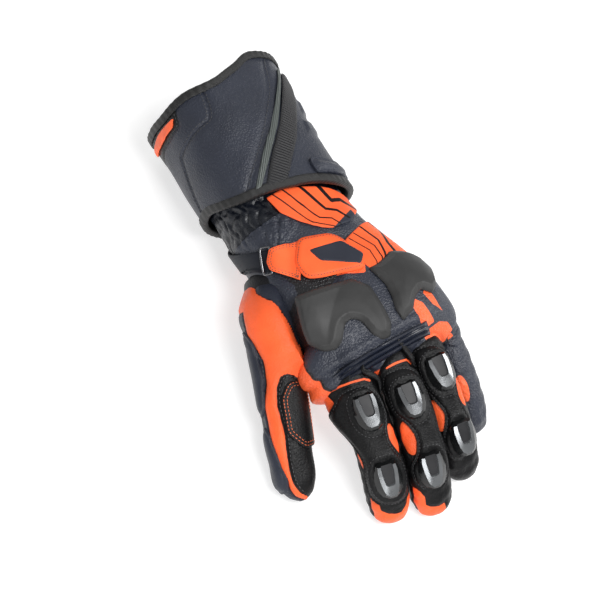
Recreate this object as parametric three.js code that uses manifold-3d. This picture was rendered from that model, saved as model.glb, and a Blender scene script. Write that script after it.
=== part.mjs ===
// Left-hand motorcycle gauntlet lying palm down on its cuff, its fingertips and its thumb.
// Millimetres. +Z is up, +Y runs from the fingers to the open end of the cuff, and the thumb is at -X.

import * as THREE from 'three';
import { mergeVertices } from 'three/addons/utils/BufferGeometryUtils.js';
import { TessellateModifier } from 'three/addons/modifiers/TessellateModifier.js';
import Module from 'manifold-3d';

const wasm = await Module();
wasm.setup();

// Leather and clearances
const LEATHER = 2;
const GAP = 0.3;
const SEAM_CLEARANCE = 0.5;
const PANEL_THICKNESS = 1.5;
const BINDING_THICKNESS = 1.3;
const BINDING_WIDTH = 5;
const FLOOR_SQUASH = 1.5;
const TIP_SQUASH = 1;

// Hand
const HAND_LENGTH = 114;
const HAND_WIDTH = 107;
const HAND_THICKNESS = 60;
const HAND_REAR = 12;

// Cuff
const CUFF_LENGTH = 118;
const CUFF_WIDTH = 106;
const CUFF_HEIGHT = 91;
const WRIST_TO_SKIRT = 8;

// Gathered wrist
const SLEEVE_LENGTH = 76;
const GATHER_DEPTH = 1.6;
const GATHER_COUNT = 7;
const PLEAT_RISE_LENGTH = 18;
const PLEATED_SHARE = 0.8;
const WIDENING_START = 0.3;

// Fingers and thumb
const FINGER_CLEARANCE = 0.35;
const INDEX_LENGTH = 112;
const MIDDLE_LENGTH = 118;
const RING_LENGTH = 112;
const LITTLE_LENGTH = 98;
const FINGER_WIDTH = 29;
const RING_FINGER_WIDTH = 27;
const LITTLE_WIDTH = 22.6;
const FINGER_THICKNESS = 27;
const LITTLE_THICKNESS = 24.6;
const THUMB_LENGTH = 160;
const THUMB_WIDTH = 50;

// Guards, pads and sliders
const GUARD_THICKNESS = 4.5;
const GUARD_EDGE = 1.8;
const GUARD_BEVEL = 5;
const WRIST_PAD_THICKNESS = 3.2;
const INLAY_THICKNESS = 0.8;
const RIB_HEIGHT = 1.8;
const RIB_COUNT = 3;
const BACK_PAD_THICKNESS = 2.4;
const SLIDER_LENGTH = 23;
const SLIDER_WIDTH = 15.5;
const SLIDER_HEIGHT = 5;
const SLIDER_BEVEL = 3;
const SLIDER_RECESS = 1;
const SLIDER_CLEARANCE = 0.6;
const SLIDER_RIM_SHARE = 0.35;
const RECESS_REACH = 0.16;
const RECESS_FROM = -0.4;
const RECESS_TO = 0.16;
const THUMB_PAD_THICKNESS = 2.6;
const CUFF_PAD_THICKNESS = 3;

// Corner radii of what is cut or moulded
const PANEL_CORNER = 2;
const STRIPED_CORNER = 3;
const PAD_CORNER = 4;
const INNER_GUARD_CORNER = 4;
const OUTER_GUARD_CORNER = 3;
const BACK_PAD_CORNER = 5;
const WRIST_PAD_CORNER = 5;
const SLIDER_CORNER = 2;
const TAB_CORNER = 1.5;

// Strap, wire ring and tab: the ring's place is a share of the hand's length, and of its width across
const STRAP_WIDTH = 15;
const STRAP_LENGTH = 72;
const STRAP_SLANT = 59;
const STRAP_THICKNESS = 1.6;
const RING_HEIGHT = 19;
const RING_WIDTH = 6.4;
const RING_WIRE = 1.5;
const RING_ALONG = 0.097;
const RING_ACROSS = -0.374;
const RING_SQUARENESS = 0.35;
const TAB_FOLD = 1;

// Mesh density
const OVAL_POWER = 2.3;
const BODY_SIDES = 27;
const FINGER_SIDES = 12;
const SLEEVE_STEPS = 7;
const PANEL_STEP = 20;
const DETAIL_STEP = 9;
const GUARD_STEP = 14;
const ARC_STEP = 3;
const FINGER_STEPS = 60;
const RING_TURNS = 14;
const WIRE_SIDES = 5;

const NAVY = { color: 0x1c2130, roughness: 0.55 };
const BLACK = { color: 0x0d0d0e, roughness: 0.6 };
const ORANGE = { color: 0xf2622e, roughness: 0.5 };
const GREY = { color: 0x3c3d3e, roughness: 0.45 };
const REFLECTIVE = { color: 0x5a5f60, roughness: 0.4 };
const GLOSS = { color: 0x2a2c2f, roughness: 0.2 };
const STEEL = { color: 0x6a6c70, roughness: 0.3, metalness: 0.9 };

// Tables: rows with named columns
function table(columns, rows) {
  return rows.map((row) => Object.fromEntries(columns.map((column, i) => [column, row[i]])));
}

// Hand sections: along is a share of the length, side and half of the width, the rest of the thickness
const HAND_ROWS = table(['along', 'side', 'height', 'half', 'up', 'down'], [
  [-0.395, 0.093, 0.700, 0.393, 0.550, 0.550],
  [-0.158, 0.075, 0.700, 0.402, 0.533, 0.500],
  [0.000, 0.065, 0.717, 0.411, 0.517, 0.467],
  [0.193, 0.084, 0.750, 0.439, 0.500, 0.450],
  [0.439, 0.112, 0.800, 0.486, 0.483, 0.433],
  [0.684, 0.140, 0.833, 0.500, 0.467, 0.400],
  [0.842, 0.154, 0.833, 0.491, 0.400, 0.350],
  [0.947, 0.154, 0.800, 0.458, 0.300, 0.283],
  [1.000, 0.150, 0.767, 0.402, 0.167, 0.183],
]);

// Cuff sections: side and half are shares of the width, tall is half the height's share
const CUFF_ROWS = table(['along', 'side', 'half', 'tall'], [
  [0.00, 0.081, 0.462, 0.469],
  [0.36, 0.088, 0.466, 0.484],
  [0.61, 0.103, 0.474, 0.495],
  [0.82, 0.118, 0.479, 0.500],
  [1.00, 0.128, 0.480, 0.500],
]);

// Edges of the cuff as shares of its length, by the angle around it (0 on top, -90 on the thumb side)
const CUFF_RIM = table(['angle', 'share'], [
  [-150, 0.93], [-112, 0.945], [-90, 0.926], [-70, 0.903], [-40, 0.905], [-12, 0.882], [4, 0.914], [18, 0.955],
  [32, 0.952], [60, 0.935], [100, 0.90], [160, 0.91],
]);
const CUFF_SKIRT = table(['angle', 'share'], [
  [-140, 0.27], [-92, 0.297], [-62, 0.229], [-44, 0.186], [-16, 0.144], [4, 0.102], [40, 0.03], [80, 0.01],
  [130, 0.06], [180, 0.16],
]);

// Finger sections, from the root to the tip
const FINGER_ROWS = table(['along', 'wide', 'thick'], [
  [0.00, 0.86, 0.94],
  [0.20, 0.94, 1.00],
  [0.42, 0.98, 1.00],
  [0.60, 1.00, 0.97],
  [0.78, 1.00, 0.97],
  [0.90, 0.93, 0.90],
  [0.965, 0.72, 0.70],
  [0.992, 0.40, 0.40],
  [1.00, 0.12, 0.12],
]);

// Fingers, from the thumb side: root is a share of the hand's length, height of its thickness
const FINGERS = table(['name', 'length', 'width', 'thickness', 'root', 'height', 'yaw', 'roll'], [
  ['index', INDEX_LENGTH, FINGER_WIDTH, FINGER_THICKNESS, 0.807, 0.833, -8, 16],
  ['middle', MIDDLE_LENGTH, FINGER_WIDTH, FINGER_THICKNESS, 0.851, 0.883, -7, 14],
  ['ring', RING_LENGTH, RING_FINGER_WIDTH, FINGER_THICKNESS, 0.807, 0.850, -4, 8],
  ['little', LITTLE_LENGTH, LITTLE_WIDTH, LITTLE_THICKNESS, 0.702, 0.717, -2, -14],
]);
const START_PITCH = 2;
const FAN_MIDDLE = 0.196;

// Places of the finger roots across the hand, side by side at their narrower roots
const fingerSpacing = (i) => (
  FINGER_ROWS[1].wide * (FINGERS[i].width + FINGERS[i + 1].width) / 2 + FINGER_CLEARANCE);
const fanStart = FAN_MIDDLE * HAND_WIDTH - fingerSpacing(0) - fingerSpacing(1) / 2;
FINGERS.forEach((finger, i) => {
  finger.side = i === 0 ? fanStart : FINGERS[i - 1].side + fingerSpacing(i - 1);
});

// Thumb: places are shares of its length, half sizes of its width
const THUMB_ROWS = table(['side', 'along', 'height', 'half', 'thick', 'yaw', 'pitch'], [
  [-0.025, 0.088, 0.262, 0.400, 0.400, -48, 4],
  [-0.169, 0.169, 0.237, 0.460, 0.500, -44, 6],
  [-0.275, 0.319, 0.212, 0.400, 0.410, -34, 10],
  [-0.350, 0.469, 0.175, 0.340, 0.340, -28, 13],
  [-0.409, 0.612, 0.141, 0.320, 0.320, -22, 14],
  [-0.459, 0.750, 0.100, 0.300, 0.300, -18, 13],
  [-0.491, 0.862, 0.0735, 0.250, 0.250, -14, 11],
  [-0.502, 0.916, 0.064, 0.160, 0.160, -12, 10],
  [-0.506, 0.941, 0.060, 0.040, 0.040, -12, 10],
]);
const THUMB_ROLL = 90;

// Outlines on the hand: along is a share of its length, across of its width around the back from the middle
const OUTLINE = ['along', 'across'];
const INNER_GUARD = table(OUTLINE, [
  [0.38, -0.40], [0.43, -0.21], [0.455, -0.065], [0.545, 0.00], [0.675, -0.02], [0.80, -0.045], [0.86, -0.09],
  [0.855, -0.15], [0.81, -0.185], [0.70, -0.20], [0.665, -0.235], [0.67, -0.285], [0.75, -0.37],
  [0.765, -0.42], [0.73, -0.49], [0.645, -0.525], [0.54, -0.48],
]);
const OUTER_GUARD = table(OUTLINE, [
  [0.45, 0.075], [0.45, 0.14], [0.425, 0.25], [0.405, 0.29], [0.43, 0.40], [0.49, 0.50], [0.60, 0.53],
  [0.71, 0.42], [0.75, 0.33], [0.70, 0.27], [0.73, 0.195], [0.79, 0.13], [0.82, 0.03], [0.745, 0.025],
  [0.66, 0.065], [0.58, 0.085],
]);
const WRIST_PAD = table(OUTLINE, [
  [0.085, -0.15], [0.15, 0.045], [0.23, 0.09], [0.30, 0.065], [0.40, 0.085], [0.44, 0.04], [0.35, -0.205],
  [0.28, -0.27], [0.21, -0.27],
]);
const WRIST_INLAY = table(OUTLINE, [
  [0.185, -0.15], [0.225, 0.05], [0.36, 0.105], [0.405, 0.05], [0.405, 0.035], [0.28, -0.14],
]);
const STRIPED_PANEL = table(OUTLINE, [
  [-0.22, -0.17], [-0.22, -0.04], [-0.12, 0.235], [-0.04, 0.41], [0.055, 0.41], [0.13, 0.225], [0.127, 0.08],
  [0.095, 0.025], [0, -0.065], [-0.10, -0.14],
]);

// Ribbed panel over the finger roots: where it starts and ends along the hand, from the thumb side across
const STRETCH_PANEL = table(['across', 'from', 'to'], [
  [-0.45, 0.865, 0.945], [-0.21, 0.870, 0.945], [0.04, 0.873, 0.945], [0.18, 0.874, 0.945],
]);
const RING_TAB = table(OUTLINE, [
  [0.055, -0.315], [0.075, -0.225], [0.09, -0.19], [0.22, -0.31], [0.165, -0.385], [0.115, -0.37],
]);

// Outlines on the cuff: shares of its length and of its width around the top
const REFLECTIVE_STRIP = table(OUTLINE, [
  [0.185, -0.255], [0.33, -0.113], [0.475, 0.047], [0.737, 0.302], [0.83, 0.39], [0.83, 0.425], [0.746, 0.344],
  [0.644, 0.25], [0.475, 0.104], [0.305, -0.075], [0.185, -0.212],
]);
const RIBBED_BAND = table(OUTLINE, [
  [0.17, -0.19], [0.305, -0.058], [0.475, 0.122], [0.644, 0.268], [0.80, 0.415], [0.80, 0.48], [0.70, 0.465],
  [0.50, 0.295], [0.36, 0.18], [0.15, -0.049],
]);
const CUFF_SIDE_PAD = table(OUTLINE, [
  [0.22, 0.17], [0.17, 0.36], [0.14, 0.60], [0.075, 0.60], [0.085, 0.36], [0.115, 0.16],
]);
const CUFF_TAG = table(OUTLINE, [
  [0.835, -0.475], [0.795, -0.515], [0.80, -0.715], [0.82, -0.915], [0.86, -0.915], [0.855, -0.685],
]);

// Outlines on the thumb: shares of its length and of its width around the nail side
const THUMB_ROOT_PAD = table(OUTLINE, [
  [0.33, 0.05], [0.38, 0.24], [0.52, 0.26], [0.64, 0.16], [0.66, 0.00], [0.62, -0.24], [0.50, -0.36],
  [0.40, -0.24],
]);
const THUMB_TIP_PAD = table(OUTLINE, [
  [0.69, 0.02], [0.72, 0.16], [0.80, 0.21], [0.91, 0.23], [0.96, 0.12], [0.95, -0.10], [0.86, -0.26],
  [0.74, -0.22],
]);
const THUMB_PATCH = table(OUTLINE, [
  [0.60, 0.44], [0.54, 0.56], [0.53, 0.72], [0.55, 0.92], [0.79, 0.92], [0.81, 0.60], [0.74, 0.42],
]);

// Half outline of a finger's back pad: shares of the finger's length and of its half width
const BACK_PAD = table(['along', 'reach'], [
  [0.13, 0.45], [0.17, 0.90], [0.30, 1.16], [0.42, 1.02], [0.51, 0.74], [0.58, 1.00], [0.70, 1.14],
  [0.80, 0.86], [0.84, 0.40],
]);
const SLIDER_PLACES = [0.325, 0.69];
const SLIDER_NAMES = ['knuckle', 'joint'];

// Half outline of a slider: shares of its length and of its half width
const SLIDER = table(['along', 'reach'], [
  [-0.50, 0.50], [-0.34, 0.88], [0.02, 1.00], [0.30, 0.82], [0.50, 0.34],
]);

// A curve through the values of one column, smooth over uneven steps
function smoothColumn(rows, key, column, x) {
  const last = rows.length - 1;
  let i = 0;
  while (i < last - 1 && rows[i + 1][key] < x) i += 1;
  const slope = (k) => {
    const a = rows[Math.max(k - 1, 0)];
    const b = rows[Math.min(k + 1, last)];
    return (b[column] - a[column]) / (b[key] - a[key]);
  };
  const step = rows[i + 1][key] - rows[i][key];
  const t = THREE.MathUtils.clamp((x - rows[i][key]) / step, 0, 1);
  const t2 = t * t;
  const t3 = t2 * t;
  return (2 * t3 - 3 * t2 + 1) * rows[i][column] + (t3 - 2 * t2 + t) * slope(i) * step
    + (3 * t2 - 2 * t3) * rows[i + 1][column] + (t3 - t2) * slope(i + 1) * step;
}

// The same around a full turn, in degrees
function smoothAround(rows, column, angle) {
  const turn = (shift) => rows.map((row) => ({ ...row, angle: row.angle + shift }));
  return smoothColumn([...turn(-360), ...rows, ...turn(360)], 'angle', column, angle);
}

// Directions of a limb: forward, to its side and up
function limbFrame(yaw, pitch, roll) {
  const [y, p, r] = [yaw, pitch, roll].map(THREE.MathUtils.degToRad);
  const forward = new THREE.Vector3(Math.sin(y) * Math.cos(p), -Math.cos(y) * Math.cos(p), -Math.sin(p));
  const level = new THREE.Vector3(Math.cos(y), Math.sin(y), 0);
  const above = new THREE.Vector3().crossVectors(level, forward);
  if (above.z < 0) above.negate();
  const side = level.clone().multiplyScalar(Math.cos(r)).addScaledVector(above, Math.sin(r));
  const up = above.clone().multiplyScalar(Math.cos(r)).addScaledVector(level, -Math.sin(r));
  return { forward, side, up };
}

// A soft tube through a few sections. Its points are found by the length along it, the angle around it and
// the offset from its outer face, and the floor flattens each layer at its own height.
class Limb {
  constructor(rows, lift = 0) {
    this.rows = rows;
    this.lift = lift;
    this.arcs = new Map();
  }

  at(s) {
    const columns = ['x', 'y', 'z', 'half', 'up', 'down', 'yaw', 'pitch', 'roll'];
    return Object.fromEntries(columns.map((column) => [column, smoothColumn(this.rows, 's', column, s)]));
  }

  point(s, angle, offset = 0, section = this.at(s)) {
    const { side, up } = limbFrame(section.yaw, section.pitch, section.roll);
    const t = THREE.MathUtils.degToRad(angle);
    const oval = (value) => Math.sign(value) * Math.abs(value) ** (2 / OVAL_POWER);
    const tall = Math.cos(t) >= 0 ? section.up : section.down;
    const point = new THREE.Vector3(section.x, section.y, section.z);
    point.addScaledVector(side, Math.max(section.half + offset, GAP) * oval(Math.sin(t)));
    point.addScaledVector(up, Math.max(tall + offset, GAP) * oval(Math.cos(t)));
    point.z = Math.max(point.z, this.lift - offset);
    return point;
  }

  // Angle at a distance around the section from its middle line, to the side if positive
  angleAt(s, distance) {
    const key = s.toFixed(2);
    if (!this.arcs.has(key)) {
      const section = this.at(s);
      const lengths = [-1, 1].map((way) => {
        const list = [0];
        for (let angle = ARC_STEP; angle <= 180; angle += ARC_STEP) {
          const a = this.point(s, way * (angle - ARC_STEP), 0, section);
          const b = this.point(s, way * angle, 0, section);
          list.push(list[list.length - 1] + a.distanceTo(b));
        }
        return list;
      });
      this.arcs.set(key, lengths);
    }
    const list = this.arcs.get(key)[distance < 0 ? 0 : 1];
    const target = Math.abs(distance);
    let i = 1;
    while (i < list.length - 1 && list[i] < target) i += 1;
    return Math.sign(distance) * ARC_STEP * (i - 1 + (target - list[i - 1]) / (list[i] - list[i - 1]));
  }
}

// Angles of a ring's corners
function ringAngles(sides) {
  return Array.from({ length: sides }, (_, k) => -180 + (360 * k) / sides);
}

// A closed body from rings of points: capped at both ends, or joined end to end as a loop
function bodyFromRings(rings, loop) {
  const sides = rings[0].length;
  const points = rings.flat();
  const faces = [];
  const count = loop ? rings.length : rings.length - 1;
  for (let r = 0; r < count; r += 1) {
    for (let k = 0; k < sides; k += 1) {
      const a = r * sides + k;
      const b = r * sides + ((k + 1) % sides);
      const c = ((r + 1) % rings.length) * sides + ((k + 1) % sides);
      const d = ((r + 1) % rings.length) * sides + k;
      faces.push([a, b, c], [a, c, d]);
    }
  }
  if (!loop) {
    [0, rings.length - 1].forEach((r) => {
      const middle = new THREE.Vector3();
      rings[r].forEach((point) => middle.addScaledVector(point, 1 / sides));
      points.push(middle);
      for (let k = 0; k < sides; k += 1) {
        const edge = [r * sides + k, r * sides + ((k + 1) % sides)];
        faces.push(r === 0 ? [edge[1], edge[0], points.length - 1] : [...edge, points.length - 1]);
      }
    });
  }
  return solidFrom(points, faces);
}

// A manifold solid with its faces pointing out
function solidFrom(points, faces) {
  let volume = 0;
  faces.forEach(([a, b, c]) => {
    volume += points[a].dot(new THREE.Vector3().crossVectors(points[b], points[c]));
  });
  const ordered = volume < 0 ? faces.map(([a, b, c]) => [a, c, b]) : faces;
  const vertProperties = new Float32Array(points.flatMap((point) => point.toArray()));
  const triVerts = new Uint32Array(ordered.flat());
  return new wasm.Manifold(new wasm.Mesh({ numProp: 3, vertProperties, triVerts }));
}

// Rings of a limb at its table rows between two lengths, with its offset and its own ends
function limbRings(limb, lengths, sides, offset) {
  return lengths.map((s) => {
    const section = limb.at(s);
    return ringAngles(sides).map((angle) => limb.point(s, angle, offset, section));
  });
}

// A tube with a wall between two offsets and two edges that may slant with the angle
function slantedTube(limb, from, to, outer, inner, steps, sides) {
  const ring = (share, offset) => ringAngles(sides).map((angle) => {
    const s = THREE.MathUtils.lerp(from(angle), to(angle), share);
    return limb.point(s, angle, typeof offset === 'function' ? offset(s, angle) : offset);
  });
  const rings = [];
  for (let i = 0; i <= steps; i += 1) rings.push(ring(i / steps, outer));
  for (let i = steps; i >= 0; i -= 1) rings.push(ring(i / steps, inner));
  return bodyFromRings(rings, true);
}

// An outline with its corners rounded, each over less than half of its sides
function roundedShape(corners, radius) {
  const most = 0.45;
  const shape = new THREE.Shape();
  corners.forEach((corner, i) => {
    const before = corners[(i + corners.length - 1) % corners.length];
    const after = corners[(i + 1) % corners.length];
    const toward = (other) => {
      const length = corner.distanceTo(other);
      return corner.clone().lerp(other, Math.min(radius, length * most) / length);
    };
    const start = toward(before);
    const end = toward(after);
    if (i === 0) shape.moveTo(start.x, start.y);
    else shape.lineTo(start.x, start.y);
    shape.quadraticCurveTo(corner.x, corner.y, end.x, end.y);
  });
  shape.closePath();
  return shape;
}

// Distance from a point to the nearest side of an outline
function edgeDistance(outline, x, y) {
  const here = new THREE.Vector3(x, y, 0);
  const line = new THREE.Line3();
  const nearest = new THREE.Vector3();
  let best = Infinity;
  outline.forEach((point, i) => {
    const next = outline[(i + 1) % outline.length];
    line.set(new THREE.Vector3(point.x, point.y, 0), new THREE.Vector3(next.x, next.y, 0));
    line.closestPointToPoint(here, true, nearest);
    best = Math.min(best, nearest.distanceTo(here));
  });
  return best;
}

// A panel laid over a limb: corners are (length, distance around), and top gives its height over the limb
// from the place on it and the distance to its edge
function drape(limb, corners, top, { radius = STRIPED_CORNER, step = PANEL_STEP, low = -1 } = {}) {
  const shape = roundedShape(corners, radius);
  const outline = shape.getPoints(1);
  const flat = new THREE.ExtrudeGeometry(shape, { depth: 1, bevelEnabled: false, curveSegments: 1 });
  const fine = new TessellateModifier(step, 8).modify(flat);
  fine.deleteAttribute('normal');
  fine.deleteAttribute('uv');
  const merged = mergeVertices(fine, 1e-3);
  const place = merged.getAttribute('position');
  const points = [];
  for (let i = 0; i < place.count; i += 1) {
    const [s, distance] = [place.getX(i), place.getY(i)];
    const raised = place.getZ(i) > 0.5;
    const height = raised ? top(s, distance, edgeDistance(outline, s, distance)) : low;
    points.push(limb.point(s, limb.angleAt(s, distance), height));
  }
  const index = Array.from(merged.getIndex().array);
  const faces = [];
  for (let i = 0; i < index.length; i += 3) faces.push(index.slice(i, i + 3));
  return solidFrom(points, faces);
}

// Corners of an outline at its real size
function corners(rows, length, width) {
  return rows.map((row) => new THREE.Vector2(row.along * length, row.across * width));
}

// Corners of an outline that is the same on both sides of its middle line
function mirroredCorners(rows, length, halfWidth, middle = 0) {
  const side = (way) => rows.map((row) => (
    new THREE.Vector2(middle + row.along * length, way * row.reach * halfWidth)));
  return [...side(1), ...side(-1).reverse()];
}

const flatTop = (thickness) => () => GAP + thickness;

// A moulded piece: thin at its edge, full a bevel's width further in
function mouldedTop(edge, full, bevel) {
  return (s, distance, inset) => {
    const share = Math.min(inset / bevel, 1);
    return GAP + edge + (full - edge) * Math.sin(share * Math.PI / 2);
  };
}

// The limbs
const hand = new Limb(HAND_ROWS.map((row) => ({
  s: row.along * HAND_LENGTH,
  x: row.side * HAND_WIDTH,
  y: -row.along * HAND_LENGTH,
  z: row.height * HAND_THICKNESS,
  half: row.half * HAND_WIDTH,
  up: row.up * HAND_THICKNESS,
  down: row.down * HAND_THICKNESS,
  yaw: 0,
  pitch: 0,
  roll: 0,
})));

const CUFF_LIFT = BINDING_THICKNESS;
const cuff = new Limb(CUFF_ROWS.map((row) => ({
  s: row.along * CUFF_LENGTH,
  x: row.side * CUFF_WIDTH,
  y: WRIST_TO_SKIRT + row.along * CUFF_LENGTH,
  z: row.tall * CUFF_HEIGHT - FLOOR_SQUASH + CUFF_LIFT,
  half: row.half * CUFF_WIDTH,
  up: row.tall * CUFF_HEIGHT,
  down: row.tall * CUFF_HEIGHT,
  yaw: 0,
  pitch: 0,
  roll: 0,
})), CUFF_LIFT);

// The gathered wrist follows the hand, then widens to the cuff's inner face, where it is sewn in
const sleeve = new Limb(Array.from({ length: SLEEVE_STEPS + 1 }, (_, i) => {
  const y = HAND_REAR + GAP + SLEEVE_LENGTH * i / SLEEVE_STEPS;
  const wrist = hand.at(-y);
  const sewn = cuff.at(y - WRIST_TO_SKIRT);
  const inset = LEATHER + SEAM_CLEARANCE;
  const share = THREE.MathUtils.smoothstep(i / SLEEVE_STEPS, WIDENING_START, 1 - 1 / SLEEVE_STEPS);
  const blend = (column, shrink) => THREE.MathUtils.lerp(wrist[column], sewn[column] - shrink, share);
  return {
    s: y,
    x: blend('x', 0),
    y,
    z: blend('z', 0),
    half: blend('half', inset),
    up: blend('up', inset),
    down: blend('down', inset),
    yaw: 0,
    pitch: 0,
    roll: 0,
  };
}), CUFF_LIFT + LEATHER + SEAM_CLEARANCE);

// A finger bends evenly from its root, as far as its tip needs to meet the floor
function fingerLimb(finger) {
  const root = new THREE.Vector3(
    finger.side,
    -finger.root * HAND_LENGTH,
    finger.height * HAND_THICKNESS,
  );
  const path = (endPitch) => {
    const places = [root.clone()];
    for (let i = 0; i < FINGER_STEPS; i += 1) {
      const pitch = THREE.MathUtils.lerp(START_PITCH, endPitch, (i + 0.5) / FINGER_STEPS);
      const { forward } = limbFrame(finger.yaw, pitch, 0);
      places.push(places[i].clone().addScaledVector(forward, finger.length / FINGER_STEPS));
    }
    return places;
  };
  const sections = (endPitch) => {
    const places = path(endPitch);
    return FINGER_ROWS.map((row) => {
      const place = places[Math.round(row.along * FINGER_STEPS)];
      const thick = row.thick * finger.thickness / 2;
      return {
        s: row.along * finger.length,
        x: place.x,
        y: place.y,
        z: place.z,
        half: row.wide * finger.width / 2,
        up: thick,
        down: thick,
        yaw: finger.yaw,
        pitch: THREE.MathUtils.lerp(START_PITCH, endPitch, row.along),
        roll: finger.roll,
      };
    });
  };
  const lowest = (rows) => Math.min(...rows.map((row) => (
    row.z - row.down * Math.cos(THREE.MathUtils.degToRad(row.pitch)))));
  const halvings = 30;
  let [flat, curled] = [0, 140];
  for (let i = 0; i < halvings; i += 1) {
    const middle = (flat + curled) / 2;
    if (lowest(sections(middle)) > -TIP_SQUASH) flat = middle;
    else curled = middle;
  }
  return new Limb(sections(curled));
}

function thumbLimb() {
  let s = 0;
  let before = null;
  return new Limb(THUMB_ROWS.map((row) => {
    const place = new THREE.Vector3(row.side, -row.along, row.height).multiplyScalar(THUMB_LENGTH);
    if (before) s += place.distanceTo(before);
    before = place;
    return {
      s,
      x: place.x,
      y: place.y,
      z: place.z,
      half: row.half * THUMB_WIDTH,
      up: row.thick * THUMB_WIDTH,
      down: row.thick * THUMB_WIDTH,
      yaw: row.yaw,
      pitch: row.pitch,
      roll: THUMB_ROLL,
    };
  }));
}

const fingers = Object.fromEntries(FINGERS.map((finger) => [finger.name, fingerLimb(finger)]));
const thumb = thumbLimb();

// Lengths of a limb's own rows
const rowLengths = (limb) => limb.rows.map((row) => row.s);

// Shell solids, grown or shrunk by an offset
function handSolid(offset) {
  const end = HAND_LENGTH + offset;
  const lengths = rowLengths(hand).filter((s) => s > -HAND_REAR).map((s) => s * end / HAND_LENGTH);
  const rear = -HAND_REAR - Math.abs(offset);
  return bodyFromRings(limbRings(hand, [rear, ...lengths], BODY_SIDES, offset), false);
}

function stallSolid(limb, offset) {
  const lengths = rowLengths(limb);
  const end = lengths[lengths.length - 1];
  const moved = lengths.map((s) => s * (end + offset) / end);
  return bodyFromRings(limbRings(limb, moved, FINGER_SIDES, offset), false);
}

const limbsWithStalls = { ...fingers, thumb };
const stallNames = Object.keys(limbsWithStalls);
const grownHand = handSolid(GAP);
const stallsAt = (offset) => Object.fromEntries(
  stallNames.map((name) => [name, stallSolid(limbsWithStalls[name], offset)]),
);
const grownStalls = stallsAt(GAP);
const stallHollows = stallsAt(-LEATHER);

// Hand: a hollow shell, open at the wrist and into every stall
function makeHandShell() {
  let shell = handSolid(0).subtract(handSolid(-LEATHER));
  stallNames.forEach((name) => {
    shell = shell.subtract(stallHollows[name]);
  });
  return shell;
}

// A stall starts at the hand's outer face, and neighbours flatten each other where they touch
function makeStall(name) {
  let stall = stallSolid(limbsWithStalls[name], 0).subtract(stallHollows[name]).subtract(grownHand);
  const before = FINGERS.findIndex((finger) => finger.name === name) - 1;
  if (before >= 0) stall = stall.subtract(grownStalls[FINGERS[before].name]);
  return stall;
}

// Wrist: pleats run lengthways on the thumb side, and fade towards both ends and around to the other side
const PLEATS_FADE_IN = [-40, 30];
const PLEATS_FADE_OUT = [110, 160];
function gatherOffset(s, angle) {
  const share = (s - HAND_REAR) / SLEEVE_LENGTH;
  const along = Math.sin(Math.PI * THREE.MathUtils.clamp(share / PLEATED_SHARE, 0, 1));
  const around = THREE.MathUtils.smoothstep(-angle, ...PLEATS_FADE_IN)
    * (1 - THREE.MathUtils.smoothstep(-angle, ...PLEATS_FADE_OUT));
  return GATHER_DEPTH * along * around * Math.cos(THREE.MathUtils.degToRad(angle * GATHER_COUNT));
}

function sleeveWall(grow, inside) {
  const from = () => HAND_REAR + GAP - grow;
  const to = () => HAND_REAR + GAP + SLEEVE_LENGTH;
  const outer = (s, angle) => gatherOffset(s, angle) + grow;
  const inner = (s, angle) => gatherOffset(s, angle) - inside;
  return slantedTube(sleeve, from, to, outer, inner, SLEEVE_STEPS, BODY_SIDES);
}

// Cuff: a wide tube with a slanted rim and a slanted skirt, both bound
const rimEdge = (angle) => smoothAround(CUFF_RIM, 'share', angle) * CUFF_LENGTH;
const skirtEdge = (angle) => smoothAround(CUFF_SKIRT, 'share', angle) * CUFF_LENGTH;
const CUFF_STEPS = 4;

function cuffWall(grow) {
  const from = (angle) => skirtEdge(angle) - grow;
  const to = (angle) => rimEdge(angle) + grow;
  return slantedTube(cuff, from, to, grow, -LEATHER - grow, CUFF_STEPS, BODY_SIDES);
}

// A binding is folded over an edge of the cuff: its section is a U
function makeBinding(edge, way) {
  const back = -way * BINDING_WIDTH;
  const seat = way * GAP;
  const lip = way * BINDING_THICKNESS;
  const section = [
    [back, GAP], [seat, GAP], [seat, -LEATHER - GAP], [back, -LEATHER - GAP],
    [back, -LEATHER - BINDING_THICKNESS], [lip, -LEATHER - BINDING_THICKNESS],
    [lip, BINDING_THICKNESS], [back, BINDING_THICKNESS],
  ];
  return bodyFromRings(section.map(([shift, offset]) => (
    ringAngles(BODY_SIDES).map((angle) => cuff.point(edge(angle) + shift, angle, offset)))), true);
}

// The room that a binding takes on the outside of the cuff
function bindingRoom(edge, way) {
  const back = -way * (BINDING_WIDTH + GAP);
  const lip = way * (BINDING_THICKNESS + GAP);
  const high = BINDING_THICKNESS + GAP;
  const section = [[back, -GAP], [lip, -GAP], [lip, high], [back, high]];
  return bodyFromRings(section.map(([shift, offset]) => (
    ringAngles(BODY_SIDES).map((angle) => cuff.point(edge(angle) + shift, angle, offset)))), true);
}

// Back of the hand
function onHand(rows, top, options = {}) {
  let panel = drape(hand, corners(rows, HAND_LENGTH, HAND_WIDTH), top, options).subtract(grownHand);
  (options.clear ?? []).forEach((solid) => {
    panel = panel.subtract(solid);
  });
  return panel;
}

const STRETCH_STEPS = 8;

// What lies over the wrist rises to cover the pleats
const overPleats = (s) => GATHER_DEPTH * THREE.MathUtils.clamp(-s / PLEAT_RISE_LENGTH, 0, 1);
const stripedTop = (s) => GAP + PANEL_THICKNESS + overPleats(s);

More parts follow.
